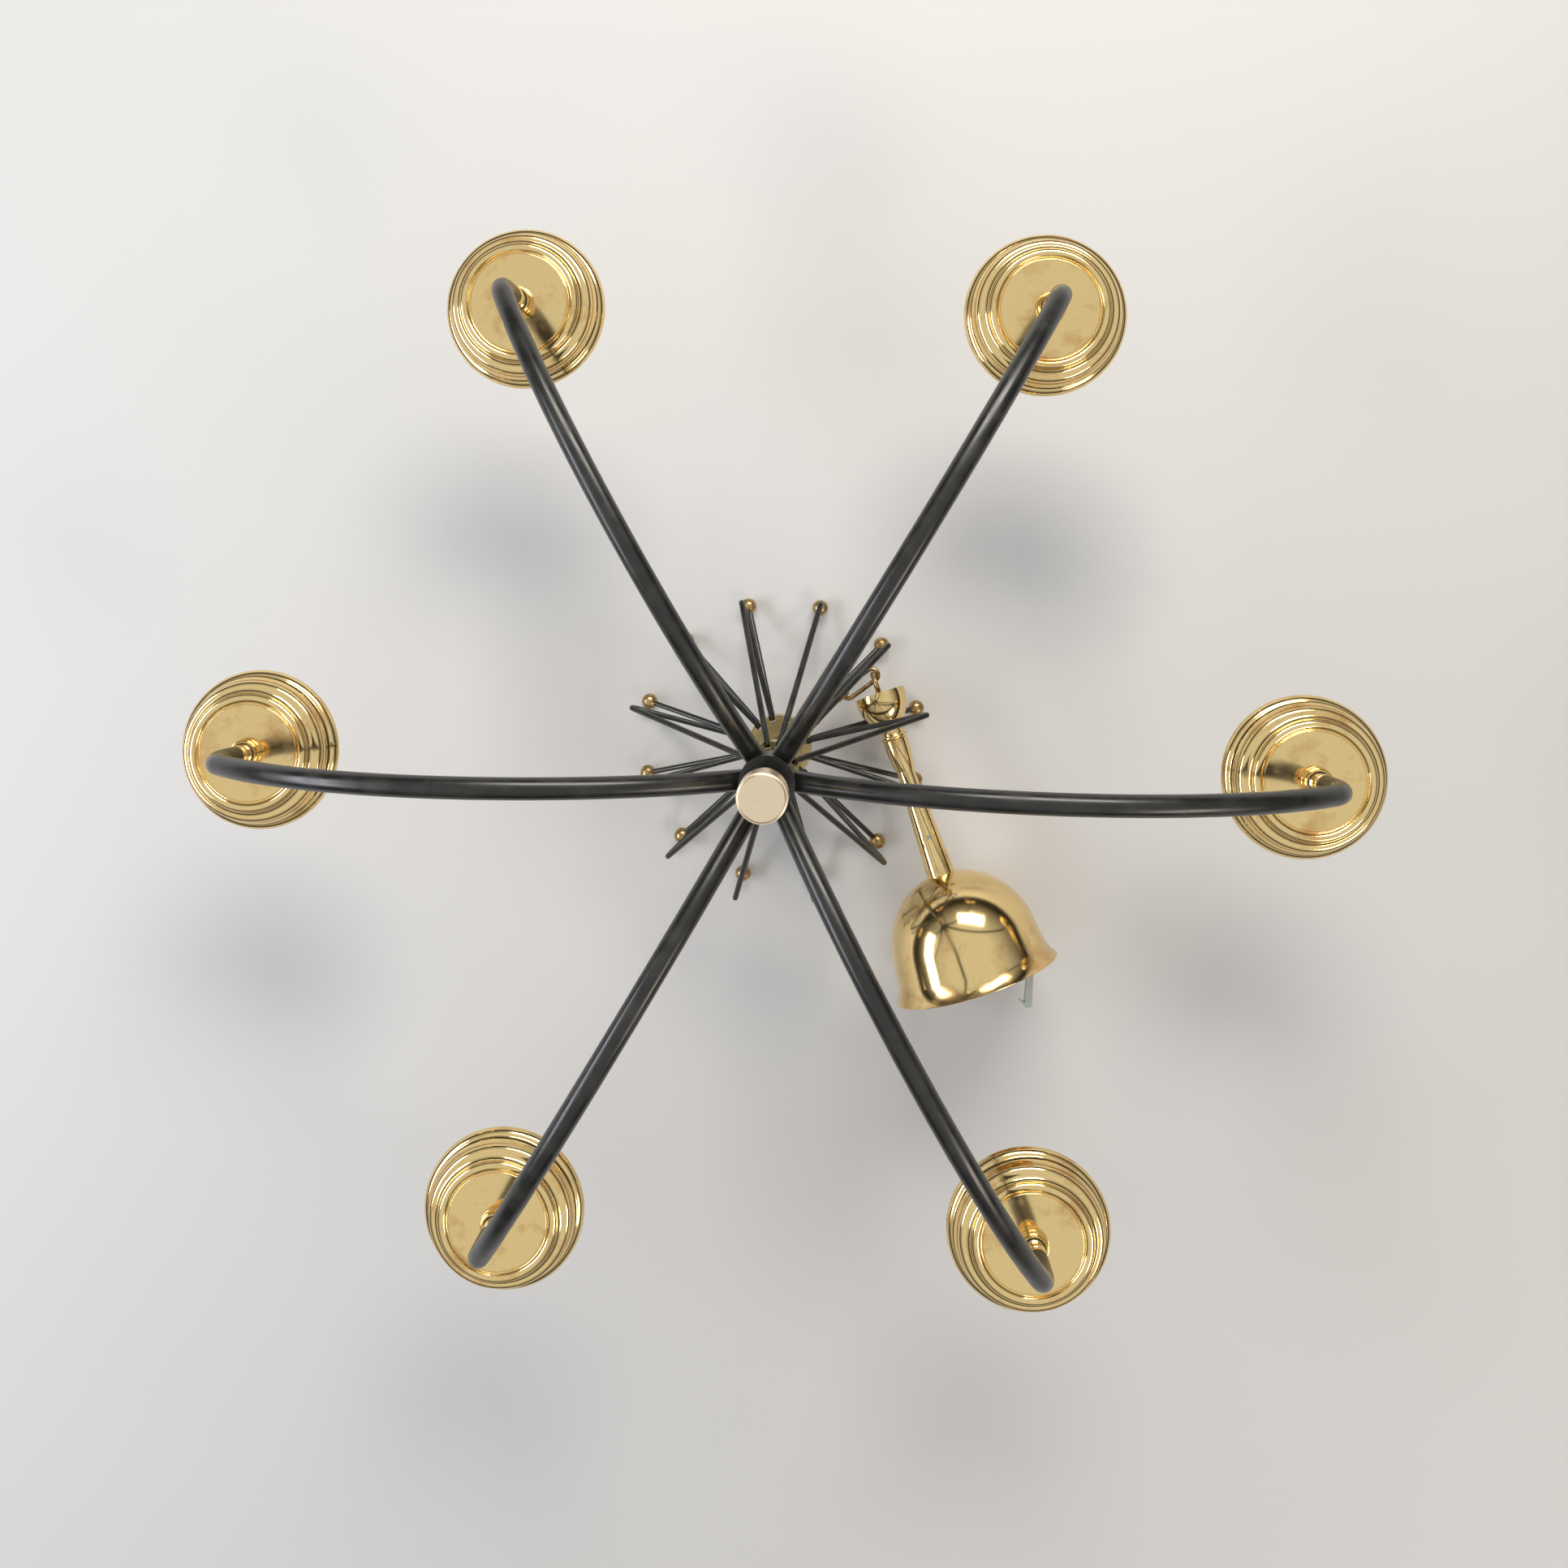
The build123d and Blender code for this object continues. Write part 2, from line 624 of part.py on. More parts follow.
save(canopy, "canopy")

sleeve_at = canopy_top - sleeve_length
with BuildPart() as canopy_sleeve:
    with BuildSketch(stem_section):
        with BuildLine():
            Polyline((sleeve_at, clear_stem_r), (sleeve_at, sleeve_narrow_r), (canopy_top, sleeve_wide_r),
                     (canopy_top, clear_stem_r), close=True)
        make_face()
    revolve(axis=stem_axis)
    with BuildSketch(Plane(origin=stem_eye_at + stem_dir * (sleeve_at + sleeve_length / 2),
                           x_dir=stem_dir, z_dir=stem_up)):
        Circle(set_screw_r + fit_gap)
    extrude(amount=2 * sleeve_wide_r, mode=Mode.SUBTRACT)
save(canopy_sleeve, "canopy_sleeve")

with BuildPart() as set_screw:
    with BuildSketch(Plane(origin=stem_eye_at + stem_dir * (sleeve_at + sleeve_length / 2)
                           + stem_up * clear_stem_r, x_dir=stem_dir, z_dir=stem_up)):
        Circle(set_screw_r)
    extrude(amount=set_screw_length)
save(set_screw, "canopy_screw")

hook_nipple_r = stem_bore_r - fit_gap
with BuildPart() as hook_nipple:
    with BuildSketch(stem_plane(hook_plate_at - hook_nipple_depth)):
        Circle(hook_nipple_r)
        Circle(rod_bore_r, mode=Mode.SUBTRACT)
    extrude(amount=hook_nipple_depth + hook_plate_t + hook_nut_length + hook_nipple_stand)
save(hook_nipple, "hook_nipple")

plate_end = hook_plate_at + hook_plate_t
hook_tip_at = canopy_rim_at + hook_reach
hook_half = hook_strip_t / 2
barb_at = hook_tip_at - hook_barb_back
with BuildPart() as ceiling_hook:
    with BuildSketch(stem_section):
        with BuildLine():
            Polyline((hook_plate_at, -hook_boss_r), (plate_end, -hook_boss_r),
                     (plate_end, hook_root_p - hook_half), (canopy_rim_at, hook_root_p - hook_half),
                     (hook_tip_at - hook_strip_t, hook_tip_p - hook_half), (barb_at, hook_barb_p - hook_half),
                     (barb_at - hook_strip_t, hook_barb_p), (hook_tip_at, hook_tip_p - hook_half),
                     (hook_tip_at, hook_tip_p + hook_half), (canopy_rim_at, hook_root_p + hook_half),
                     (hook_plate_at, hook_root_p + hook_half), close=True)
        make_face()
    extrude(amount=hook_width / 2, both=True)
    with BuildSketch(stem_plane(hook_plate_at)):
        Circle(hook_boss_r)
    extrude(amount=hook_plate_t)
    with BuildSketch(stem_plane(hook_plate_at)):
        Circle(hook_nipple_r + fit_gap)
    extrude(amount=hook_plate_t, mode=Mode.SUBTRACT)
save(ceiling_hook, "ceiling_hook")

with BuildPart() as hook_nut:
    with BuildSketch(stem_plane(plate_end)):
        RegularPolygon(hook_nut_r, 6, major_radius=False)
        Circle(hook_nipple_r + fit_gap, mode=Mode.SUBTRACT)
    extrude(amount=hook_nut_length)
save(hook_nut, "hook_nut")

# ---------------------------------------------------------------- hub eye and chain
stem_pivot = stem_eye_at - stem_dir * eye_major_r
chain_heading = math.atan2(stem_pivot.Y, stem_pivot.X)
chain_out = Vector(math.cos(chain_heading), math.sin(chain_heading), 0)
hub_eye_at = Vector(0, 0, hub_eye_z)
chain_root = hub_eye_at + chain_out * eye_major_r
chain_dir = (stem_pivot - chain_root).normalized()
chain_side = Vector(-math.sin(chain_heading), math.cos(chain_heading), 0)
print("stem pivot", [round(v, 3) for v in stem_pivot], "chain root", [round(v, 3) for v in chain_root])

eye_collar_base_z = hub_eye_z + eye_major_r
eye_collar_top_z = lower_collar_base_z - locknut_height
with BuildPart() as hub_eye:
    with BuildSketch(Plane(origin=hub_eye_at, x_dir=chain_out, z_dir=(0, 0, 1))):
        with Locations((eye_major_r, 0)):
            Circle(eye_wire_r)
    revolve(axis=Axis(hub_eye_at, chain_side))
    with BuildSketch(Plane.XY.offset(eye_collar_base_z)):
        Circle(eye_collar_r)
    extrude(amount=eye_collar_top_z - eye_collar_base_z)
    with BuildSketch(Plane.XY.offset(rod_bottom_z)):
        Circle(clear_rod_r)
    extrude(amount=eye_collar_top_z - rod_bottom_z, mode=Mode.SUBTRACT)
save(hub_eye, "hub_eye")

chain_run = (stem_pivot - chain_root).length
end_lap = link_bend_r - (eye_wire_r + link_wire_r + seat_gap)
link_lap = 2 * link_bend_r - (2 * link_wire_r + seat_gap)
link_straight = (chain_run - 2 * end_lap - (link_count - 1) * link_lap) / link_count
print("link straight", round(link_straight, 2))
chain_up = chain_dir.cross(chain_side)
with BuildPart() as chain_links:
    for number in range(link_count):
        first = chain_root + chain_dir * (end_lap + number * (link_straight + link_lap))
        last = first + chain_dir * link_straight
        across = chain_side if number % 2 == 0 else chain_up
        with BuildLine() as link_line:
            Line(first + across * link_bend_r, last + across * link_bend_r)
            ThreePointArc(last + across * link_bend_r, last + chain_dir * link_bend_r,
                          last - across * link_bend_r)
            Line(last - across * link_bend_r, first - across * link_bend_r)
            ThreePointArc(first - across * link_bend_r, first - chain_dir * link_bend_r,
                          first + across * link_bend_r)
        with BuildSketch(link_line.line ^ 0):
            Circle(link_wire_r)
        sweep(path=link_line.line)
save(chain_links, "chain_links")
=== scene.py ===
# %% [markdown]
# # A sputnik chandelier, lying on its back
# The light hangs from a ceiling in use. Here it lies as it is stored: the end cap looks up, the brass
# cups open downwards, and the stem with its ceiling canopy is unhooked and lies beside the star.
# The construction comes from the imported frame, so the first thing is to load it and note its size.

# %% Load the frame
import json
import math

import bmesh
import bpy
import numpy as np
from mathutils import Matrix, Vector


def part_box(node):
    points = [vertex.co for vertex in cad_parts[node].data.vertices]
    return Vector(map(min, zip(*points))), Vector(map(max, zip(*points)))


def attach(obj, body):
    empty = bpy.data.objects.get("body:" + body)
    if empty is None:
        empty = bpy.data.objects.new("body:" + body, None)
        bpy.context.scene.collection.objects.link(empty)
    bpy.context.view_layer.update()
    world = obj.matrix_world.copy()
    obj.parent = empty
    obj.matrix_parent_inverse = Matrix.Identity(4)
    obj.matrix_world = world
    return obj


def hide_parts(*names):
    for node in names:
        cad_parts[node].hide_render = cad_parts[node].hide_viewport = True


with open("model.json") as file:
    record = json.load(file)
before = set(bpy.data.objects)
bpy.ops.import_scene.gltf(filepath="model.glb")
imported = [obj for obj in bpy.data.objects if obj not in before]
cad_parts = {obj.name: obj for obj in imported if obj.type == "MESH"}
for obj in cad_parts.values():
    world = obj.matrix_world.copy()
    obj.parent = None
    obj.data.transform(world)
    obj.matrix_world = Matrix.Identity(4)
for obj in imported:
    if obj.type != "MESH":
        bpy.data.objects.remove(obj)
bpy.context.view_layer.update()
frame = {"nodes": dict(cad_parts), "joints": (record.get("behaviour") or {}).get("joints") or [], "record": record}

MM = 0.001
joints = {joint["name"]: joint for joint in frame["joints"]}

# %% [markdown]
# ## Nodes and colours
# Every material below is built from nodes. One small function adds a node, sets its options and
# fills its inputs, with a number where the value is fixed and a link where it comes from another
# node. Colours are written as the hex values that a colour picker shows, and turned to linear light.

# %% Node and colour helpers
MIX_FACTOR, MIX_LOW, MIX_HIGH, MIX_RESULT = 0, 6, 7, 2    # the sockets of a Mix node that mixes colours


def linear(hex_code):
    """An sRGB hex value as a linear RGBA colour: c/12.92 below 0.04045, else ((c+0.055)/1.055)^2.4."""
    srgb = np.array([int(hex_code[i:i + 2], 16) for i in (1, 3, 5)]) / 255
    value = np.where(srgb <= 0.04045, srgb / 12.92, ((srgb + 0.055) / 1.055) ** 2.4)
    return (*value.tolist(), 1.0)


def feed(tree, node, inputs):
    """Give each input its value, or link it to the socket or the node's first output that feeds it."""
    for key, value in inputs.items():
        if isinstance(value, bpy.types.Node):
            value = value.outputs[0]
        if isinstance(value, bpy.types.NodeSocket):
            tree.links.new(value, node.inputs[key])
        else:
            node.inputs[key].default_value = value


def add_node(tree, kind, inputs=None, **options):
    """Add one node with its options, and feed its inputs."""
    node = tree.nodes.new(kind)
    for option, value in options.items():
        setattr(node, option, value)
    feed(tree, node, inputs or {})
    return node


def new_material(name):
    """A material, its node tree, and the Principled shader that Blender puts in it."""
    material = bpy.data.materials.new(name)
    material.use_nodes = True
    return material, material.node_tree, material.node_tree.nodes["Principled BSDF"]


print("black lacquer in linear light", [round(v, 4) for v in linear("#10100e")])

# %% [markdown]
# ## Satin black lacquer
# The arms, the hub and the star's wires are steel, sprayed and stoved. Stoved lacquer is not quite
# flat: it has a faint orange peel about a millimetre across, and it lies a little duller where dust
# has settled. Two noises do that: a fine one for the bump and a broad one for the dullness.

# %% Black lacquer
DUST_MM, PEEL_MM, PEEL_HEIGHT_MM = 14, 1.2, 0.2
CLEAN_BLACK, DUSTY_BLACK = "#10100e", "#262520"


def make_black_lacquer():
    """Settled dust greys and dulls the black, and the orange peel only tilts the light."""
    material, tree, shader = new_material("stoved_black_lacquer")
    place = add_node(tree, "ShaderNodeTexCoord").outputs["Object"]
    dust = add_node(tree, "ShaderNodeTexNoise", {"Vector": place, "Scale": 1 / (DUST_MM * MM), "Detail": 4})
    settled = add_node(tree, "ShaderNodeMapRange", {"Value": dust, "From Min": 0.42, "From Max": 0.72})
    colour = add_node(tree, "ShaderNodeMix", {
        MIX_FACTOR: settled, MIX_LOW: linear(CLEAN_BLACK), MIX_HIGH: linear(DUSTY_BLACK)}, data_type="RGBA")
    rough = add_node(tree, "ShaderNodeMapRange", {"Value": settled, "To Min": 0.30, "To Max": 0.46})
    peel = add_node(tree, "ShaderNodeTexNoise", {"Vector": place, "Scale": 1 / (PEEL_MM * MM)})
    bump = add_node(tree, "ShaderNodeBump",
                    {"Strength": 0.05, "Distance": PEEL_HEIGHT_MM * MM, "Height": peel})
    feed(tree, shader, {"Metallic": 0.0, "IOR": 1.5, "Coat Weight": 0.25, "Coat Roughness": 0.22,
                        "Base Color": colour.outputs[MIX_RESULT], "Roughness": rough, "Normal": bump})
    return material


black_lacquer = make_black_lacquer()
print(black_lacquer.name, len(black_lacquer.node_tree.nodes), "nodes")

# %% [markdown]
# ## Brass, in four states
# Spun and turned brass keeps faint rings from the lathe, which run round the piece. Those rings
# follow the surface, so they read the piece's own UV map, whose second value is the length along
# the profile in millimetres. Over the years lacquered brass tarnishes in soft blotches, which are
# darker, redder and duller. One function makes all four states; only their colours, gloss, the
# share of tarnish and the rings differ. Real lathe rings are 0.1 to 0.2 mm apart. They are drawn at
# 0.3 to 0.5 mm, because finer ones would not show.

# %% Brass
SPECKS_PER_BLOTCH = 9
TARNISH_EDGE, TARNISH_DULLING = 0.25, 0.20
RING_HEIGHT_MM = 0.1


def make_brass(name, bright, tarnished, gloss, tarnish_from, tarnish_mm, ring_mm, ring_strength):
    """Blotches broken up by specks redden and dull the metal; rings and specks tilt the light."""
    material, tree, shader = new_material(name)
    place = add_node(tree, "ShaderNodeTexCoord").outputs["Object"]
    blotch = add_node(tree, "ShaderNodeTexNoise", {
        "Vector": place, "Scale": 1 / (tarnish_mm * MM), "Detail": 5, "Roughness": 0.6})
    tarnish = add_node(tree, "ShaderNodeMapRange", {
        "Value": blotch, "From Min": tarnish_from, "From Max": tarnish_from + TARNISH_EDGE})
    specks = add_node(tree, "ShaderNodeTexNoise", {
        "Vector": place, "Scale": 1 / (tarnish_mm / SPECKS_PER_BLOTCH * MM)})
    share = add_node(tree, "ShaderNodeMapRange", {
        "Value": specks, "From Min": 0.3, "From Max": 0.7, "To Min": 0.75, "To Max": 1.15})
    specked = add_node(tree, "ShaderNodeMath", {0: tarnish, 1: share}, operation="MULTIPLY", use_clamp=True)
    colour = add_node(tree, "ShaderNodeMix", {
        MIX_FACTOR: specked, MIX_LOW: linear(bright), MIX_HIGH: linear(tarnished)}, data_type="RGBA")
    rough = add_node(tree, "ShaderNodeMapRange", {
        "Value": specked, "To Min": gloss, "To Max": gloss + TARNISH_DULLING})
    uv = add_node(tree, "ShaderNodeUVMap", uv_map="UVMap")
    along = add_node(tree, "ShaderNodeSeparateXYZ", {"Vector": uv}).outputs["Y"]
    ring_place = add_node(tree, "ShaderNodeCombineXYZ", {"X": along})
    rings = add_node(tree, "ShaderNodeTexNoise", {"Vector": ring_place, "Scale": 1 / ring_mm, "Detail": 3})
    height = add_node(tree, "ShaderNodeMath", {0: rings, 1: specks}, operation="ADD")
    bump = add_node(tree, "ShaderNodeBump", {
        "Strength": ring_strength, "Distance": RING_HEIGHT_MM * MM, "Height": height})
    feed(tree, shader, {"Metallic": 1.0, "Base Color": colour.outputs[MIX_RESULT],
                        "Roughness": rough, "Normal": bump})
    return material


polished_brass = make_brass("spun_polished_brass", bright="#f0d396", tarnished="#c9975a", gloss=0.12,
                            tarnish_from=0.52, tarnish_mm=26, ring_mm=0.5, ring_strength=0.06)
satin_brass = make_brass("satin_end_cap_brass", bright="#f0dcc0", tarnished="#d9bd98", gloss=0.38,
                         tarnish_from=0.55, tarnish_mm=12, ring_mm=0.3, ring_strength=0.16)
turned_brass = make_brass("turned_collar_brass", bright="#dcc68e", tarnished="#a98a52", gloss=0.26,
                          tarnish_from=0.50, tarnish_mm=9, ring_mm=0.3, ring_strength=0.12)
aged_brass = make_brass("aged_ball_brass", bright="#c4a878", tarnished="#7d6138", gloss=0.26,
                        tarnish_from=0.42, tarnish_mm=5, ring_mm=0.4, ring_strength=0.12)
print([m.name for m in (polished_brass, satin_brass, turned_brass, aged_brass)])

# %% [markdown]
# ## Steel, moulded lampholders, flex and the clear hook
# The rod, nuts and nipples are zinc-plated steel, which is pale, a little blue and softly mottled.
# The lampholders are a dark phenolic moulding with a faint swirl. The flex's sheath is smooth PVC.
# The hook is clear plastic: it lets light through with a slight haze and a little green at its edges.
# Each is one noise that runs the colour and the roughness together, so one function makes all four.

# %% Smaller finishes
def make_mottled(name, shader_inputs, mottle_mm, detail, low, high, rough_low, rough_high,
                 grain=0.5, rough_band=(0.3, 0.7)):
    """A noise takes the colour from low to high, and the roughness over the band of its values."""
    material, tree, shader = new_material(name)
    place = add_node(tree, "ShaderNodeTexCoord").outputs["Object"]
    mottle = add_node(tree, "ShaderNodeTexNoise", {
        "Vector": place, "Scale": 1 / (mottle_mm * MM), "Detail": detail, "Roughness": grain})
    colour = add_node(tree, "ShaderNodeMix", {
        MIX_FACTOR: mottle, MIX_LOW: linear(low), MIX_HIGH: linear(high)}, data_type="RGBA")
    rough = add_node(tree, "ShaderNodeMapRange", {
        "Value": mottle, "From Min": rough_band[0], "From Max": rough_band[1],
        "To Min": rough_low, "To Max": rough_high})
    feed(tree, shader, {**shader_inputs, "Base Color": colour.outputs[MIX_RESULT], "Roughness": rough})
    return material


zinc_steel = make_mottled(
    "zinc_plated_steel", {"Metallic": 1.0},
    mottle_mm=2.5, detail=3, low="#9a9a96", high="#c9cac7", rough_low=0.28, rough_high=0.42)
phenolic = make_mottled(
    "phenolic_moulding", {"Metallic": 0.0, "IOR": 1.6},
    mottle_mm=7, detail=5, grain=0.65, low="#15100d", high="#2a1d15", rough_low=0.26, rough_high=0.38)
flex_sheath = make_mottled(
    "pvc_flex_sheath", {"Metallic": 0.0, "IOR": 1.53}, rough_band=(0, 1),
    mottle_mm=9, detail=3, low="#c9c2a8", high="#a99f80", rough_low=0.35, rough_high=0.50)
clear_plastic = make_mottled(
    "clear_moulded_plastic", {"Metallic": 0.0, "IOR": 1.49, "Transmission Weight": 0.55},
    mottle_mm=4, detail=4, low="#dfe6e3", high="#cbd4d1", rough_low=0.06, rough_high=0.20)
print([m.name for m in (zinc_steel, phenolic, flex_sheath, clear_plastic)])

# %% [markdown]
# ## Surfaces from grids
# Almost every piece here is either turned on a lathe or a rod that follows a line. Both are a grid
# of points with two parameters: the place along the profile or line, and the angle round it. The
# whole grid is worked out as one numpy array, and one function turns grids into a mesh.

# %% Grid to mesh
MERGE_DISTANCE = 1e-7    # metres
SHARP_ANGLE = math.radians(38)


def quads(rows, columns, close_rows, first):
    """Corner numbers of every quad of a grid whose columns always join round."""
    i, j = np.meshgrid(np.arange(rows if close_rows else rows - 1), np.arange(columns), indexing="ij")
    below, right = (i + 1) % rows, (j + 1) % columns
    corners = np.stack(
        [i * columns + j, below * columns + j, below * columns + right, i * columns + right], -1)
    return corners.reshape(-1, 4) + first


def quad_uvs(lengths, columns, close_rows):
    """UV of every quad's corners: the share of a turn, and the length along the profile in mm."""
    rows = len(lengths) - 1 if close_rows else len(lengths)
    i, j = np.meshgrid(np.arange(rows if close_rows else rows - 1), np.arange(columns), indexing="ij")
    u = np.stack([j, j, j + 1, j + 1], -1) / columns
    v = np.stack([lengths[i], lengths[i + 1], lengths[i + 1], lengths[i]], -1)
    return np.stack([u, v], -1).reshape(-1, 2)


def run_lengths(line, closed):
    """The distance run along a line of points, with one more value where it closes."""
    steps = np.diff(np.vstack([line, line[:1]]) if closed else line, axis=0)
    return np.concatenate([[0], np.cumsum(np.linalg.norm(steps, axis=1))])


def build_piece(name, grids, material, body, replaced):
    """One object from (points, lengths, close_rows) grids in mm: quads, UVs, merged poles, normals out."""
    faces, uvs, first = [], [], 0
    for points, lengths, close_rows in grids:
        rows, columns = points.shape[:2]
        faces.append(quads(rows, columns, close_rows, first))
        uvs.append(quad_uvs(lengths, columns, close_rows))
        first += rows * columns
    vertices = np.concatenate([points.reshape(-1, 3) for points, _, _ in grids]) * MM
    mesh = bpy.data.meshes.new(name)
    mesh.from_pydata(vertices, [], np.concatenate(faces).tolist())
    mesh.uv_layers.new(name="UVMap").data.foreach_set("uv", np.concatenate(uvs).ravel())
    shape = bmesh.new()
    shape.from_mesh(mesh)
    bmesh.ops.remove_doubles(shape, verts=shape.verts, dist=MERGE_DISTANCE)
    bmesh.ops.recalc_face_normals(shape, faces=shape.faces)
    shape.to_mesh(mesh)
    shape.free()
    mesh.polygons.foreach_set("use_smooth", np.ones(len(mesh.polygons), dtype=bool))
    mesh.set_sharp_from_angle(angle=SHARP_ANGLE)
    mesh.materials.append(material)
    piece = bpy.data.objects.new(name, mesh)
    bpy.context.collection.objects.link(piece)
    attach(piece, body)
    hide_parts(*replaced)


print("edges sharper than", round(math.degrees(SHARP_ANGLE)), "degrees stay crisp")

# %% [markdown]
# A profile is written the way a turner reads a drawing: points as (along the axis, out from it), and
# rounds as arcs between two points with a given rise.

# %% Profiles
SAME_POINT_MM = 1e-6


def rounded(start, end, rise, steps):
    """An arc from start to end that rises by this much to the left of the straight line between them.

    The rise s and the half chord c give the radius (s^2 + c^2) / 2s; the points divide its angle evenly.
    """
    start, end = np.array(start, float), np.array(end, float)
    chord = end - start
    half = np.linalg.norm(chord) / 2
    left = np.array([-chord[1], chord[0]]) / (2 * half)
    radius = (rise * rise + half * half) / (2 * abs(rise))
    sweep = 2 * math.atan2(abs(rise), half)
    turn = np.linspace(-sweep, sweep, steps + 1)[:, None]
    across = chord / (2 * half) * radius * np.sin(turn)
    up = left * np.sign(rise) * (radius * np.cos(turn) - (radius - abs(rise)))
    return (start + end) / 2 + across + up


def profile(*runs):
    """Join points and arcs into one line, leaving out points that repeat."""
    line = np.vstack([np.atleast_2d(np.array(run, float)) for run in runs])
    keep = np.concatenate([[True], np.linalg.norm(np.diff(line, axis=0), axis=1) > SAME_POINT_MM])
    return line[keep]


test_arc = rounded((0, 0), (8, 0), rise=2, steps=10)
print("an arc over 8 mm rises to", test_arc[:, 1].max().round(3), "mm in its middle")

# %% [markdown]
# A turned piece is a profile swung round its axis. A rod is a circle carried along a flat line, kept
# square to it by the line's own direction. Both could come from Blender's curves and its Screw
# modifier, but a grid keeps the length along the profile, which the lathe's rings need.

# %% Lathe and rods
def turned(line, origin, axis, steps=96, closed=True):
    """A profile of (along, out) swung round an axis: origin + along * axis + out * (cos t, sin t)."""
    axis = np.array(axis, float) / np.linalg.norm(axis)
    near_upright = abs(axis[2]) > 0.9
    first = np.array([1.0, 0.0, 0.0]) if near_upright else np.cross(axis, [0.0, 0.0, 1.0])
    first = first / np.linalg.norm(first)
    second = np.cross(axis, first)
    angle = np.arange(steps) * 2 * math.pi / steps
    round_it = np.cos(angle)[:, None] * first + np.sin(angle)[:, None] * second
    points = np.array(origin, float) + line[:, None, :1] * axis + line[:, None, 1:] * round_it
    return points, run_lengths(line, closed), closed


def rings_along(line, ahead, flat_normal, radius, sides):
    """A circle at each point of a flat line, square to the line's own direction there."""
    ahead = ahead / np.linalg.norm(ahead, axis=1, keepdims=True)
    side = np.cross(flat_normal, ahead)
    angle = np.arange(sides) * 2 * math.pi / sides
    ring = np.cos(angle)[:, None] * side[:, None, :] + np.sin(angle)[:, None] * np.array(flat_normal)
    return line[:, None, :] + radius * ring


def rod(line, flat_normal, radius, sides=14):
    """A round rod along a flat line, closed at each end by a ring that has shrunk to a point."""
    points = rings_along(line, np.gradient(line, axis=0), flat_normal, radius, sides)
    ends = np.repeat(line[[0, -1]][:, None, :], sides, axis=1)
    lengths = run_lengths(line, False)
    return np.concatenate([ends[:1], points, ends[1:]]), np.concatenate([[0], lengths, lengths[-1:]]), False


def ring_of_rod(line, flat_normal, radius, sides=14):
    """A rod whose flat line closes on itself, so that it has no ends."""
    ahead = np.roll(line, -1, axis=0) - np.roll(line, 1, axis=0)
    return rings_along(line, ahead, flat_normal, radius, sides), run_lengths(line, True), True


def upright(angle, flat_line):
    """Points given as (out from the column, height), in space at this angle round the column."""
    out, height = np.array(flat_line, float).T
    return np.stack([out * math.cos(angle), out * math.sin(angle), height], 1)


def level_normal(angle):
    """The level direction square to the upright plane at this angle."""
    return np.array([math.sin(angle), -math.cos(angle), 0.0])


test_rod = rod(upright(0, [(0, 0), (0, 10)]), level_normal(0), radius=2)[0]
print("a short upright rod is a grid of", test_rod.shape[:2], "points")

# %% [markdown]
# ## Where things are
# The frame already knows where every piece stands. The six cups give the arms' angles and reach, and
# the joints give the stem: its foot is the point it swings about, and the canopy slides along it.

# %% Places from the frame
def box_mm(node):
    """The lowest and highest corner of a node's box, in millimetres."""
    low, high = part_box(node)
    return np.array(low) / MM, np.array(high) / MM


ARM_COUNT, STAR_COUNT = 6, 12
STAR_TURN = math.radians(15)
cup_low, cup_high = box_mm("cup_1")
CUP_CIRCLE_R = (cup_low[0] + cup_high[0]) / 2
CUP_RIM_Z = cup_low[2]
CUP_BASE_Z = box_mm("cup_neck_1")[0][2]
ARM_END_Z = box_mm("cup_neck_1")[1][2]
arm_angles = [2 * math.pi * i / ARM_COUNT for i in range(ARM_COUNT)]
star_angles = [STAR_TURN + 2 * math.pi * i / STAR_COUNT for i in range(STAR_COUNT)]

EYE_MAJOR_R = 8.0
UP = np.array([0.0, 0.0, 1.0])
stem_dir = -np.array(joints["canopy_slide"]["axis"])
stem_dir /= np.linalg.norm(stem_dir)
stem_foot = np.array(joints["stem_swing"]["pos_m"]) / MM + stem_dir * EYE_MAJOR_R
stem_side = np.array([-stem_dir[1], stem_dir[0], 0.0]) / math.hypot(stem_dir[0], stem_dir[1])
print("cups at", round(CUP_CIRCLE_R, 1), "rims", round(CUP_RIM_Z, 1), "stem along", stem_dir.round(3))

# %% [markdown]
# ## Arms
# Each arm is one length of half-inch steel tube, bent to a long shallow arc and then to a tight
# elbow that drops it into its cup. The centre line is three runs: the arc through its start, crown
# and fall, the elbow that carries on smoothly from it, and a straight drop.

# %% Arms
ARM_R = 6.5
ARM_START, ARM_CROWN, ARM_FALL = (13.0, 211.0), (188.0, 272.0), (336.0, 214.0)
ARM_IN_HUB_R = 15.0    # the tube starts this far out, inside the hub
ARC_POINTS, ELBOW_POINTS = 90, 24


def arc_through(a, b, c, count):
    """An arc through three points: its centre is where the two chords' middle lines cross."""
    a, b, c = (np.array(p, float) for p in (a, b, c))
    sides = 2 * np.array([b - a, c - b])
    centre = np.linalg.solve(sides, [b @ b - a @ a, c @ c - b @ b])
    radius = np.linalg.norm(a - centre)
    from_angle, to_angle = (math.atan2(*(p - centre)[::-1]) for p in (a, c))
    angle = np.linspace(from_angle, to_angle, count)
    return centre + radius * np.stack([np.cos(angle), np.sin(angle)], 1), centre


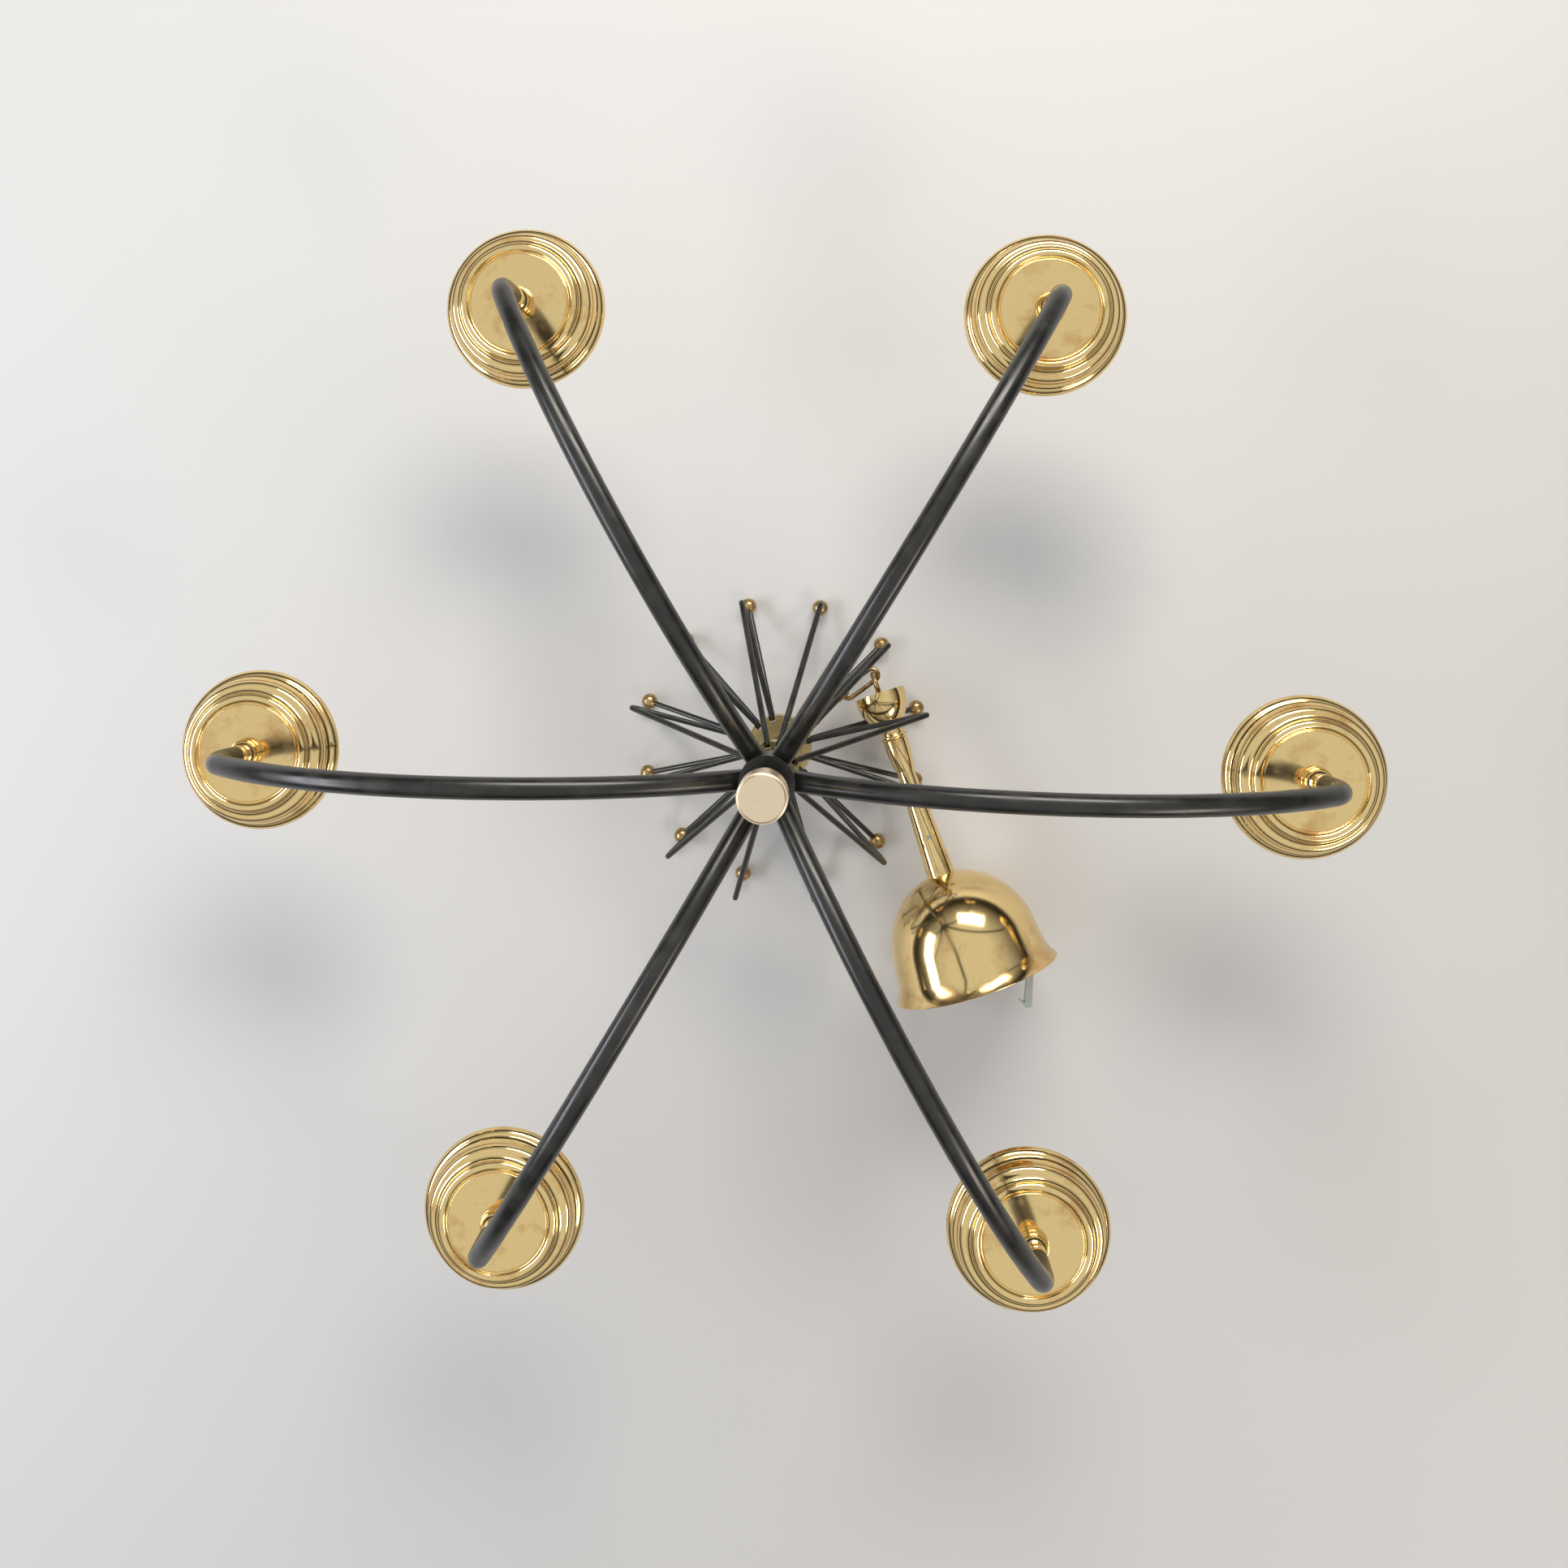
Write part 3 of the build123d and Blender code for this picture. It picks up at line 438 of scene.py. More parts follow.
def arm_line():
    """The long arc, then an elbow that starts in the arc's direction and ends straight down."""
    long_arc, centre = arc_through(ARM_START, ARM_CROWN, ARM_FALL, ARC_POINTS)
    outward = (np.array(ARM_FALL) - centre) / np.linalg.norm(np.array(ARM_FALL) - centre)
    lean = math.atan2(outward[1], outward[0])
    elbow_r = (CUP_CIRCLE_R - ARM_FALL[0]) / (1 - math.cos(lean))
    elbow_centre = np.array(ARM_FALL) - elbow_r * outward
    turn = np.linspace(lean, 0, ELBOW_POINTS)[:, None]
    elbow = elbow_centre + elbow_r * np.hstack([np.cos(turn), np.sin(turn)])
    return profile(long_arc, elbow, (CUP_CIRCLE_R, ARM_END_Z))


centre_line = arm_line()
centre_line = centre_line[centre_line[:, 0] > ARM_IN_HUB_R]
for number, angle in enumerate(arm_angles, start=1):
    tube = rod(upright(angle, centre_line), level_normal(angle), ARM_R, sides=40)
    build_piece(f"arm_tube_{number}", [tube], black_lacquer, "fixture", [f"arm_{number}"])
print("arm line of", len(centre_line), "points, crown at", centre_line[:, 1].max().round(1), "mm")

# %% [markdown]
# ## Cups
# The cups are spun from sheet brass over a stepped form: a flat middle, a raised bead round it, softer
# bands below that, and a rolled lip. Spinning a closed profile, outside and inside in one loop, gives
# the real thin wall.

# %% Cup profile
CUP_WALL = 1.2
CUP_RIM_R = (cup_high[0] - cup_low[0]) / 2
CUP_H = CUP_BASE_Z - CUP_RIM_Z
NIPPLE_R = 4.8
CUP_DISC_R, CUP_GROOVE_R, CUP_BEAD_R = 32.0, 33.8, 39.4
CUP_GROOVE_DEPTH, CUP_BEAD_RISE = 0.7, 1.6
CUP_BANDS = ((42.6, 4.4, 0.9), (47.6, 8.4, -1.5), (50.2, 14.4, 0.7))    # radius, drop, hollow or bulge
CUP_LIP_BULGE, CUP_RIM_ROUND = 1.0, 0.5


def cup_profile():
    """Outside from the middle to the rim, then back inside one wall's thickness below it."""
    runs = [(CUP_H, NIPPLE_R), (CUP_H, CUP_DISC_R),
            rounded((CUP_H, CUP_DISC_R), (CUP_H, CUP_GROOVE_R), CUP_GROOVE_DEPTH, steps=8),
            rounded((CUP_H, CUP_GROOVE_R), (CUP_H, CUP_BEAD_R), -CUP_BEAD_RISE, steps=20)]
    band_start = (CUP_H, CUP_BEAD_R)
    for radius, drop, hollow in CUP_BANDS:
        runs.append(rounded(band_start, (CUP_H - drop, radius), hollow, steps=14))
        band_start = (CUP_H - drop, radius)
    lip_end = (CUP_RIM_ROUND, CUP_RIM_R)
    runs += [rounded(band_start, lip_end, -CUP_LIP_BULGE, steps=14),
             rounded(lip_end, (0, CUP_RIM_R - CUP_RIM_ROUND), -CUP_RIM_ROUND / 4, steps=5)]
    outside = profile(*runs)
    ahead = np.gradient(outside, axis=0)
    inward = np.stack([-ahead[:, 1], ahead[:, 0]], 1) / np.linalg.norm(ahead, axis=1, keepdims=True)
    inside = (outside + inward * CUP_WALL)[::-1]
    inside[:, 0] = np.maximum(inside[:, 0], 0)
    inside[:, 1] = np.clip(inside[:, 1], NIPPLE_R, CUP_RIM_R - CUP_WALL)
    return profile(outside, inside)


cup_line = cup_profile()
print("cup", round(2 * CUP_RIM_R), "mm across,", len(cup_line), "points in its profile")

# %% [markdown]
# Each neck is a solid turned piece: a short band at its foot with both edges eased, a hollow flare up to
# the waist, and a round bead just under the arm.

# %% Neck profile, cups and necks
FOOT_R, FOOT_LOW_EDGE, FOOT_TOP_EDGE, FOOT_BAND_H = 10.0, 0.6, 0.4, 1.3
WAIST_R, FLARE_TOP, FLARE_HOLLOW = 6.6, 10.0, 1.2
BEAD_FROM_TOP, BEAD_TO_TOP, BEAD_RISE = 6.0, 2.0, 2.0


def neck_profile():
    """Foot band, flare and bead; the lengths are heights over the cup's top."""
    top = ARM_END_Z - CUP_BASE_Z
    foot_start, foot_low = (0, FOOT_R - FOOT_LOW_EDGE), (FOOT_LOW_EDGE, FOOT_R)
    foot_high = (FOOT_BAND_H, FOOT_R)
    foot_end = (FOOT_BAND_H + FOOT_TOP_EDGE, FOOT_R - FOOT_TOP_EDGE)
    bead_low, bead_high = (top - BEAD_FROM_TOP, WAIST_R), (top - BEAD_TO_TOP, WAIST_R)
    return profile(
        (0, NIPPLE_R), rounded(foot_start, foot_low, rise=-0.2, steps=4),
        rounded(foot_high, foot_end, rise=-0.1, steps=4),
        rounded(foot_end, (FLARE_TOP, WAIST_R), FLARE_HOLLOW, steps=12),
        rounded(bead_low, bead_high, -BEAD_RISE, steps=12), (top, WAIST_R), (top, NIPPLE_R))


neck_line = neck_profile()
for number, angle in enumerate(arm_angles, start=1):
    out = np.array([math.cos(angle), math.sin(angle), 0.0]) * CUP_CIRCLE_R
    build_piece(f"spun_cup_{number}", [turned(cup_line, out + UP * CUP_RIM_Z, UP, steps=128)],
                polished_brass, "fixture", [f"cup_{number}"])
    build_piece(f"turned_neck_{number}", [turned(neck_line, out + UP * CUP_BASE_Z, UP, steps=64)],
                polished_brass, "fixture", [f"cup_neck_{number}"])
print("neck", round(2 * FOOT_R), "mm across its foot,", len(neck_line), "points in its profile")

# %% [markdown]
# ## End cap
# The cap is the nearest piece to the camera. It is turned from bar, faced off flat with a rounded
# edge, and it screws on to the rod over the slotted collar. A face rubbed down with fine abrasive is
# satin: it has no mirror images, only a soft pale sheen.

# %% End cap
cap_low, cap_high = box_mm("end_cap")
CAP_H = cap_high[2] - cap_low[2]
CAP_R = (cap_high[0] - cap_low[0]) / 2
CAP_LOW_EDGE, CAP_FACE_EDGE = 0.5, 1.8
ROD_HOLE_R, ROD_HOLE_DEPTH = 5.1, 11.0
cap_line = profile(
    (0, ROD_HOLE_R), rounded((0, CAP_R - CAP_LOW_EDGE), (CAP_LOW_EDGE, CAP_R), rise=-0.15, steps=4),
    rounded((CAP_H - CAP_FACE_EDGE, CAP_R), (CAP_H, CAP_R - CAP_FACE_EDGE), rise=-0.5, steps=10),
    (CAP_H, 0.0), (ROD_HOLE_DEPTH, 0.0), (ROD_HOLE_DEPTH, ROD_HOLE_R))
build_piece("turned_end_cap", [turned(cap_line, (0, 0, cap_low[2]), UP)], satin_brass,
            "fixture", ["end_cap"])
print("end cap", round(2 * CAP_R, 1), "mm across and", round(CAP_H, 1), "mm long")

# %% [markdown]
# ## The star
# Twelve hairpins of black wire run from the upper collar out to a tight bend and back to the lower
# collar, and twelve rods carry a small brass ball each. All of them lie in upright planes between
# the arms. A hairpin is two straight legs that touch one small circle, so its line is drawn from the
# two tangent points.

# %% Hairpins
HAIRPIN_TIP, HAIRPIN_BEND_R, HAIRPIN_R = (107.0, 71.0), 3.2, 2.0
NEAR_SEAT, FAR_SEAT = (13.6, 151.5), (20.6, 50.0)
BEND_POINTS, LEG_POINTS = 20, 14


def tangent_angle(seat, side):
    """The angle on the bend's circle where a leg from the seat touches it."""
    toward = np.array(seat) - np.array(HAIRPIN_TIP)
    return math.atan2(toward[1], toward[0]) - side * math.acos(HAIRPIN_BEND_R / np.linalg.norm(toward))


def hairpin_line():
    """Leg, bend and leg; the bend runs clockwise round the outside between its tangent points."""
    from_angle = tangent_angle(NEAR_SEAT, 1) % (2 * math.pi)
    to_angle = tangent_angle(FAR_SEAT, -1)
    to_angle -= 2 * math.pi if to_angle > 0 else 0
    turn = np.linspace(from_angle, to_angle, BEND_POINTS)[:, None]
    bend = np.array(HAIRPIN_TIP) + HAIRPIN_BEND_R * np.hstack([np.cos(turn), np.sin(turn)])
    legs = np.linspace(0, 1, LEG_POINTS)[:, None]
    return profile(NEAR_SEAT + legs * (bend[0] - NEAR_SEAT), bend, bend[-1] + legs * (FAR_SEAT - bend[-1]))


pin_line = hairpin_line()
build_piece("hairpin_wires", [rod(upright(a, pin_line), level_normal(a), HAIRPIN_R) for a in star_angles],
            black_lacquer, "fixture", ["hairpins"])
print("hairpin reaches", (pin_line[:, 0].max() + HAIRPIN_R).round(1), "mm from the column")

# %% [markdown]
# A ball is half a circle swung round the rod that it sits on. It was turned about the same line as the
# rod, so its faint rings run round the rod too. The rod stops on a small flat on the ball, just short
# of the round. Aged brass is browner and duller than fresh.

# %% Rods and balls
BALL_R, BALL_FLAT_AT, STAR_ROD_R = 6.0, 5.5, 2.0
STAR_SEAT, BALL_AT = (20.6, 43.0), (107.0, BALL_R)
ROD_POINTS, BALL_POINTS = 12, 25
to_ball = np.array(BALL_AT) - np.array(STAR_SEAT)
rod_share = 1 - BALL_FLAT_AT / np.linalg.norm(to_ball)
rod_line = np.array(STAR_SEAT) + np.linspace(0, rod_share, ROD_POINTS)[:, None] * to_ball
build_piece("ball_rods", [rod(upright(a, rod_line), level_normal(a), STAR_ROD_R) for a in star_angles],
            black_lacquer, "fixture", ["star_rods"])

half_turn = np.linspace(0, math.pi, BALL_POINTS)
ball_line = profile(np.stack([-BALL_R * np.cos(half_turn), BALL_R * np.sin(half_turn)], 1))
ball_grids = [turned(ball_line, upright(a, [BALL_AT])[0], upright(a, [to_ball])[0], steps=32, closed=False)
              for a in star_angles]
build_piece("turned_balls", ball_grids, aged_brass, "fixture", ["star_balls"])
print(len(ball_grids), "balls of", 2 * BALL_R, "mm")

# %% [markdown]
# ## The stem
# The stem is a brass tube with a small bell at its foot, a ring nut and a cone that runs up the tube.
# These are all turned about the stem's own axis, so their profiles read as distances along it.

# %% Stem
STEM_R, STEM_BORE_R, BORE_ON_STEM_R = 6.5, 5.0, 6.6
TUBE_FROM, TUBE_TO = 26.0, 203.0
BELL_LIP, BELL_SHOULDER, BELL_TOP = (7.0, 19.0), (32.0, 8.4), 39.0
BELL_LIP_INSIDE, BELL_SHOULDER_INSIDE = (7.0, 17.8), (30.8, BORE_ON_STEM_R)
BELL_BULGE, BELL_TOP_R = 3.6, 8.4
BELL_BEAD_FROM, BELL_BEAD_TO, BELL_BEAD_RISE = 33.0, 36.0, 0.5
RING_TOP, RING_RISE = 43.0, 1.6
CONE_FOOT_R, CONE_SIDE_R, CONE_EDGE = 9.2, 9.4, 0.4
CONE_TOP, CONE_TOP_R, CONE_BULGE = 67.0, 7.0, 0.5

stem_line = profile((TUBE_FROM, STEM_BORE_R), (TUBE_FROM, STEM_R), (TUBE_TO, STEM_R), (TUBE_TO, STEM_BORE_R))
bell_line = profile(
    rounded(BELL_LIP, BELL_SHOULDER, BELL_BULGE, steps=28),
    rounded((BELL_BEAD_FROM, BELL_TOP_R), (BELL_BEAD_TO, BELL_TOP_R), BELL_BEAD_RISE, steps=6),
    (BELL_TOP, BELL_TOP_R), (BELL_TOP, BORE_ON_STEM_R),
    rounded(BELL_SHOULDER_INSIDE, BELL_LIP_INSIDE, -BELL_BULGE, steps=28))
ring_line = profile(
    (BELL_TOP, BORE_ON_STEM_R), rounded((BELL_TOP, BELL_TOP_R), (RING_TOP, BELL_TOP_R), RING_RISE, steps=12),
    (RING_TOP, BORE_ON_STEM_R))
cone_edge_end = (RING_TOP + CONE_EDGE, CONE_SIDE_R)
cone_line = profile(
    (RING_TOP, BORE_ON_STEM_R), rounded((RING_TOP, CONE_FOOT_R), cone_edge_end, rise=0.1, steps=3),
    rounded(cone_edge_end, (CONE_TOP, CONE_TOP_R), CONE_BULGE, steps=16), (CONE_TOP, BORE_ON_STEM_R))
for name, line, node in (("stem_pipe", stem_line, "stem_tube"), ("spun_stem_bell", bell_line, "stem_bell"),
                         ("turned_ring_nut", ring_line, "ring_nut"),
                         ("turned_stem_cone", cone_line, "stem_cone")):
    build_piece(name, [turned(line, stem_foot, stem_dir)], polished_brass, "stem", [node])
print("stem pieces follow", stem_dir.round(3), "from", stem_foot.round(1))

# %% [markdown]
# ## Ceiling canopy
# The canopy hides the ceiling hook and the terminal block. It is spun as one deep bell, with a round
# shoulder, a nearly straight skirt and a flared lip. The sleeve grips the stem with a set screw.

# %% Canopy and sleeve
CANOPY_TOP, CANOPY_RIM, CANOPY_WALL = 146.0, 223.0, 1.2
BOWL_END, SKIRT_END = CANOPY_TOP + 46.0, CANOPY_TOP + 65.0
BOWL_TOP_R, BOWL_R, BOWL_BULGE = 10.4, 53.2, 10.2
SKIRT_R, LIP_R, LIP_INSIDE_R, LIP_HOLLOW, LIP_EDGE = 55.6, 60.8, 59.8, 0.9, 0.6
SLEEVE_FROM, SLEEVE_NARROW_R = CANOPY_TOP - 58.0, 7.6
SLEEVE_EDGE_LENGTH, SLEEVE_EDGE_DEPTH = 0.4, 0.3

lip_start = (CANOPY_RIM - LIP_EDGE, LIP_R)
inside_top = CANOPY_TOP + CANOPY_WALL
canopy_line = profile(
    (CANOPY_TOP, BORE_ON_STEM_R), rounded((CANOPY_TOP, BOWL_TOP_R), (BOWL_END, BOWL_R), BOWL_BULGE, steps=48),
    rounded((SKIRT_END, SKIRT_R), lip_start, -LIP_HOLLOW, steps=14),
    rounded(lip_start, (CANOPY_RIM, LIP_R - LIP_EDGE), rise=0.15, steps=4),
    rounded((CANOPY_RIM, LIP_INSIDE_R), (SKIRT_END, SKIRT_R - CANOPY_WALL), LIP_HOLLOW, steps=14),
    rounded((BOWL_END, BOWL_R - CANOPY_WALL), (inside_top, BOWL_TOP_R), -BOWL_BULGE, steps=48),
    (inside_top, BORE_ON_STEM_R))
build_piece("spun_canopy", [turned(canopy_line, stem_foot, stem_dir, steps=192)], polished_brass,
            "canopy", ["canopy"])

sleeve_edge = (SLEEVE_FROM + SLEEVE_EDGE_LENGTH, SLEEVE_NARROW_R)
sleeve_line = profile(
    (SLEEVE_FROM, BORE_ON_STEM_R),
    rounded((SLEEVE_FROM, SLEEVE_NARROW_R - SLEEVE_EDGE_DEPTH), sleeve_edge, rise=0.1, steps=4),
    (CANOPY_TOP, BOWL_TOP_R), (CANOPY_TOP, BORE_ON_STEM_R))
build_piece("turned_sleeve", [turned(sleeve_line, stem_foot, stem_dir)], polished_brass,
            "canopy", ["canopy_sleeve"])
print("canopy", round(2 * canopy_line[:, 1].max(), 1), "mm across its lip")

# %% [markdown]
# ## Eyes and chain
# An eye is a ring of wire on a short shank. The column's eye is screwed in under the lock nut, and the
# stem's eye is screwed into its foot. A closed loop is a rod whose ends meet.

# %% Eyes
EYE_WIRE_R, SHANK_EDGE, EYE_POINTS = 2.0, 0.3, 48
STEM_SHANK_END, STEM_SHANK_R, COLUMN_SHANK_R = 38.0, 3.0, 7.5


def eye_grids(centre, forward, normal, shank_to, shank_r):
    """A wire ring in the plane square to normal, with a turned shank that leaves it forwards."""
    across = np.cross(normal, forward)
    angle = np.linspace(0, 2 * math.pi, EYE_POINTS, endpoint=False)[:, None]
    circle = centre + EYE_MAJOR_R * (np.cos(angle) * forward + np.sin(angle) * across)
    shank = profile((EYE_MAJOR_R, 0), (EYE_MAJOR_R, shank_r - SHANK_EDGE),
                    (EYE_MAJOR_R + SHANK_EDGE, shank_r), (shank_to, shank_r), (shank_to, 0))
    return [ring_of_rod(circle, normal, EYE_WIRE_R), turned(shank, centre, forward, steps=40, closed=False)]


build_piece("stem_foot_eye", eye_grids(stem_foot, stem_dir, stem_side, STEM_SHANK_END, STEM_SHANK_R),
            aged_brass, "stem", ["stem_eye"])
chain_root = np.array(joints["chain_swing"]["pos_m"]) / MM
stem_pivot = np.array(joints["stem_swing"]["pos_m"]) / MM
chain_out = np.array([stem_pivot[0], stem_pivot[1], 0.0]) / math.hypot(stem_pivot[0], stem_pivot[1])
chain_side = np.array([-chain_out[1], chain_out[0], 0.0])
hub_eye_centre = chain_root - chain_out * EYE_MAJOR_R
eye_top = box_mm("hub_eye")[1][2] - hub_eye_centre[2]
build_piece("column_eye", eye_grids(hub_eye_centre, UP, chain_side, eye_top, COLUMN_SHANK_R),
            aged_brass, "fixture", ["hub_eye"])
print("the column's eye is", eye_top.round(1), "mm tall over its middle")

# %% [markdown]
# The three links hook into each other and into both eyes. Each is a long loop, turned a quarter to the
# one before it. Their straight runs are whatever length fills the way from one eye to the other.

# %% Chain links
LINK_COUNT, LINK_R, LINK_BEND_R, SEAT_GAP, HALF_LINK_POINTS = 3, 1.7, 4.6, 0.3, 14
END_LAP = LINK_BEND_R - (EYE_WIRE_R + LINK_R + SEAT_GAP)
LINK_LAP = 2 * LINK_BEND_R - (2 * LINK_R + SEAT_GAP)
chain_run = np.linalg.norm(stem_pivot - chain_root)
chain_dir = (stem_pivot - chain_root) / chain_run
link_straight = (chain_run - 2 * END_LAP - (LINK_COUNT - 1) * LINK_LAP) / LINK_COUNT
turn = np.linspace(-math.pi / 2, math.pi / 2, HALF_LINK_POINTS)[:, None]
link_grids = []
for number in range(LINK_COUNT):
    across = chain_side if number % 2 == 0 else np.cross(chain_dir, chain_side)
    near = chain_root + chain_dir * (END_LAP + number * (link_straight + LINK_LAP))
    half_round = LINK_BEND_R * (np.cos(turn) * chain_dir + np.sin(turn) * across)
    loop = np.vstack([near + chain_dir * link_straight + half_round, near - half_round])
    link_grids.append(ring_of_rod(loop, np.cross(chain_dir, across), LINK_R))
build_piece("chain_loops", link_grids, aged_brass, "chain", ["chain_links"])
print(LINK_COUNT, "links with straight runs of", round(link_straight, 1), "mm")

# %% [markdown]
# ## Finishes on the pieces that the frame already has
# The turned collars, the hub, the spacers, the rod, the nuts, the lampholders and the clear hook are
# right as they come, so they only get their finish. The frame's record says which finish each piece
# has, and a table turns its words into the materials made above. The lampholders have no row in it, so
# they get the dark moulding that is left. None of these pieces has a UV map, so their brass has specks
# and tarnish but no rings.

# %% Finish the frame's own nodes
finishes = {
    "black_lacquer": black_lacquer, "polished_brass": polished_brass, "satin_brass": satin_brass,
    "aged_brass": aged_brass, "pale_brass": turned_brass, "zinc_steel": zinc_steel,
    "flex": flex_sheath, "clear_plastic": clear_plastic,
}
slot_of = {part["node"]: part["material_slot"] for part in frame["record"]["subparts"]}
for node, thing in frame["nodes"].items():
    thing.data.materials.clear()
    thing.data.materials.append(finishes.get(slot_of[node], phenolic))
print("finished", len(frame["nodes"]), "nodes")

# %% [markdown]
# ## Floor
# A pale paper floor keeps the object's shadow and shows in its brass. Only the rays that the camera,
# the brass and the clear plastic send out see it pale. The light that it bounces back on to the object
# is that of a mid grey, so the arms stay black. Far from the column it turns into the backdrop.

# %% Floor
BACKDROP = "#e6e5e3"
PAPER_SEEN, PAPER_BOUNCED = "#d6d5d3", "#7c7b79"
FADE_FROM, FADE_TO = 0.7, 2.2    # metres from the column over which the paper sweeps up into the backdrop
FLOOR_SIZE = 60


def make_floor_finish():
    """Pale paper where it is seen, mid grey where it only bounces light, and the backdrop far off."""
    material, tree, shader = new_material("pale_paper_floor")
    rays = add_node(tree, "ShaderNodeLightPath").outputs
    seen = add_node(tree, "ShaderNodeMath", {0: rays["Is Camera Ray"], 1: rays["Is Glossy Ray"]},
                    operation="MAXIMUM")
    shown = add_node(tree, "ShaderNodeMath", {0: seen, 1: rays["Is Transmission Ray"]}, operation="MAXIMUM")
    colour = add_node(tree, "ShaderNodeMix", {
        MIX_FACTOR: shown, MIX_LOW: linear(PAPER_BOUNCED), MIX_HIGH: linear(PAPER_SEEN)}, data_type="RGBA")
    feed(tree, shader, {"Roughness": 0.9, "Base Color": colour.outputs[MIX_RESULT]})
    place = add_node(tree, "ShaderNodeTexCoord").outputs["Object"]
    distance = add_node(tree, "ShaderNodeVectorMath", {0: place}, operation="LENGTH").outputs["Value"]
    far = add_node(tree, "ShaderNodeMapRange", {
        "Value": distance, "From Min": FADE_FROM, "From Max": FADE_TO})
    far_seen = add_node(tree, "ShaderNodeMath", {0: far, 1: rays["Is Camera Ray"]}, operation="MULTIPLY")
    backdrop = add_node(tree, "ShaderNodeEmission", {"Color": linear(BACKDROP)})
    surface = add_node(tree, "ShaderNodeMixShader", {0: far_seen, 1: shader, 2: backdrop})
    feed(tree, tree.nodes["Material Output"], {"Surface": surface})
    return material


bpy.ops.mesh.primitive_plane_add(size=FLOOR_SIZE)
floor = bpy.context.object
floor.name = "floor"
floor.data.materials.append(make_floor_finish())
print("floor", FLOOR_SIZE, "m wide, fading from", FADE_FROM, "to", FADE_TO, "m")

# %% [markdown]
# ## World
# The world is a card that is bright overhead and dark near the floor, which gives polished brass both
# the pale tops and the dark brown bands of the photograph. The camera sees the plain backdrop instead,
# and the light that dull surfaces gather from it is that of an even grey.

# %% World
CARD_LOW, CARD_HIGH, CARD_BOUNCED = "#2c2622", "#dfe0de", "#a0a2a6"

world = bpy.data.worlds.new("studio")
bpy.context.scene.world = world
world.use_nodes = True
sky = world.node_tree
rays = add_node(sky, "ShaderNodeLightPath").outputs
toward = add_node(sky, "ShaderNodeTexCoord").outputs["Generated"]
height = add_node(sky, "ShaderNodeSeparateXYZ", {"Vector": toward}).outputs["Z"]
overhead = add_node(sky, "ShaderNodeMapRange", {"Value": height, "From Min": 0.15, "From Max": 0.8})
card = add_node(sky, "ShaderNodeMix", {
    MIX_FACTOR: overhead, MIX_LOW: linear(CARD_LOW), MIX_HIGH: linear(CARD_HIGH)}, data_type="RGBA")
bounced = add_node(sky, "ShaderNodeMix", {
    MIX_FACTOR: rays["Is Diffuse Ray"], MIX_LOW: card.outputs[MIX_RESULT], MIX_HIGH: linear(CARD_BOUNCED)},
    data_type="RGBA")
shown = add_node(sky, "ShaderNodeMix", {
    MIX_FACTOR: rays["Is Camera Ray"], MIX_LOW: bounced.outputs[MIX_RESULT], MIX_HIGH: linear(BACKDROP)},
    data_type="RGBA")
feed(sky, sky.nodes["Background"], {"Color": shown.outputs[MIX_RESULT]})
print("world of", len(sky.nodes), "nodes")

# %% [markdown]
# ## Light
# Three soft boxes light the object from above: a wide one beyond it, and one to each side. Each is an
# area lamp that is turned to look at the middle of the object, because a lamp shines along its own
# downward axis: it tips up from straight down, and then turns round to face its aim.

# %% Soft boxes
LAMP_AIM = (0, 0, 0.15)


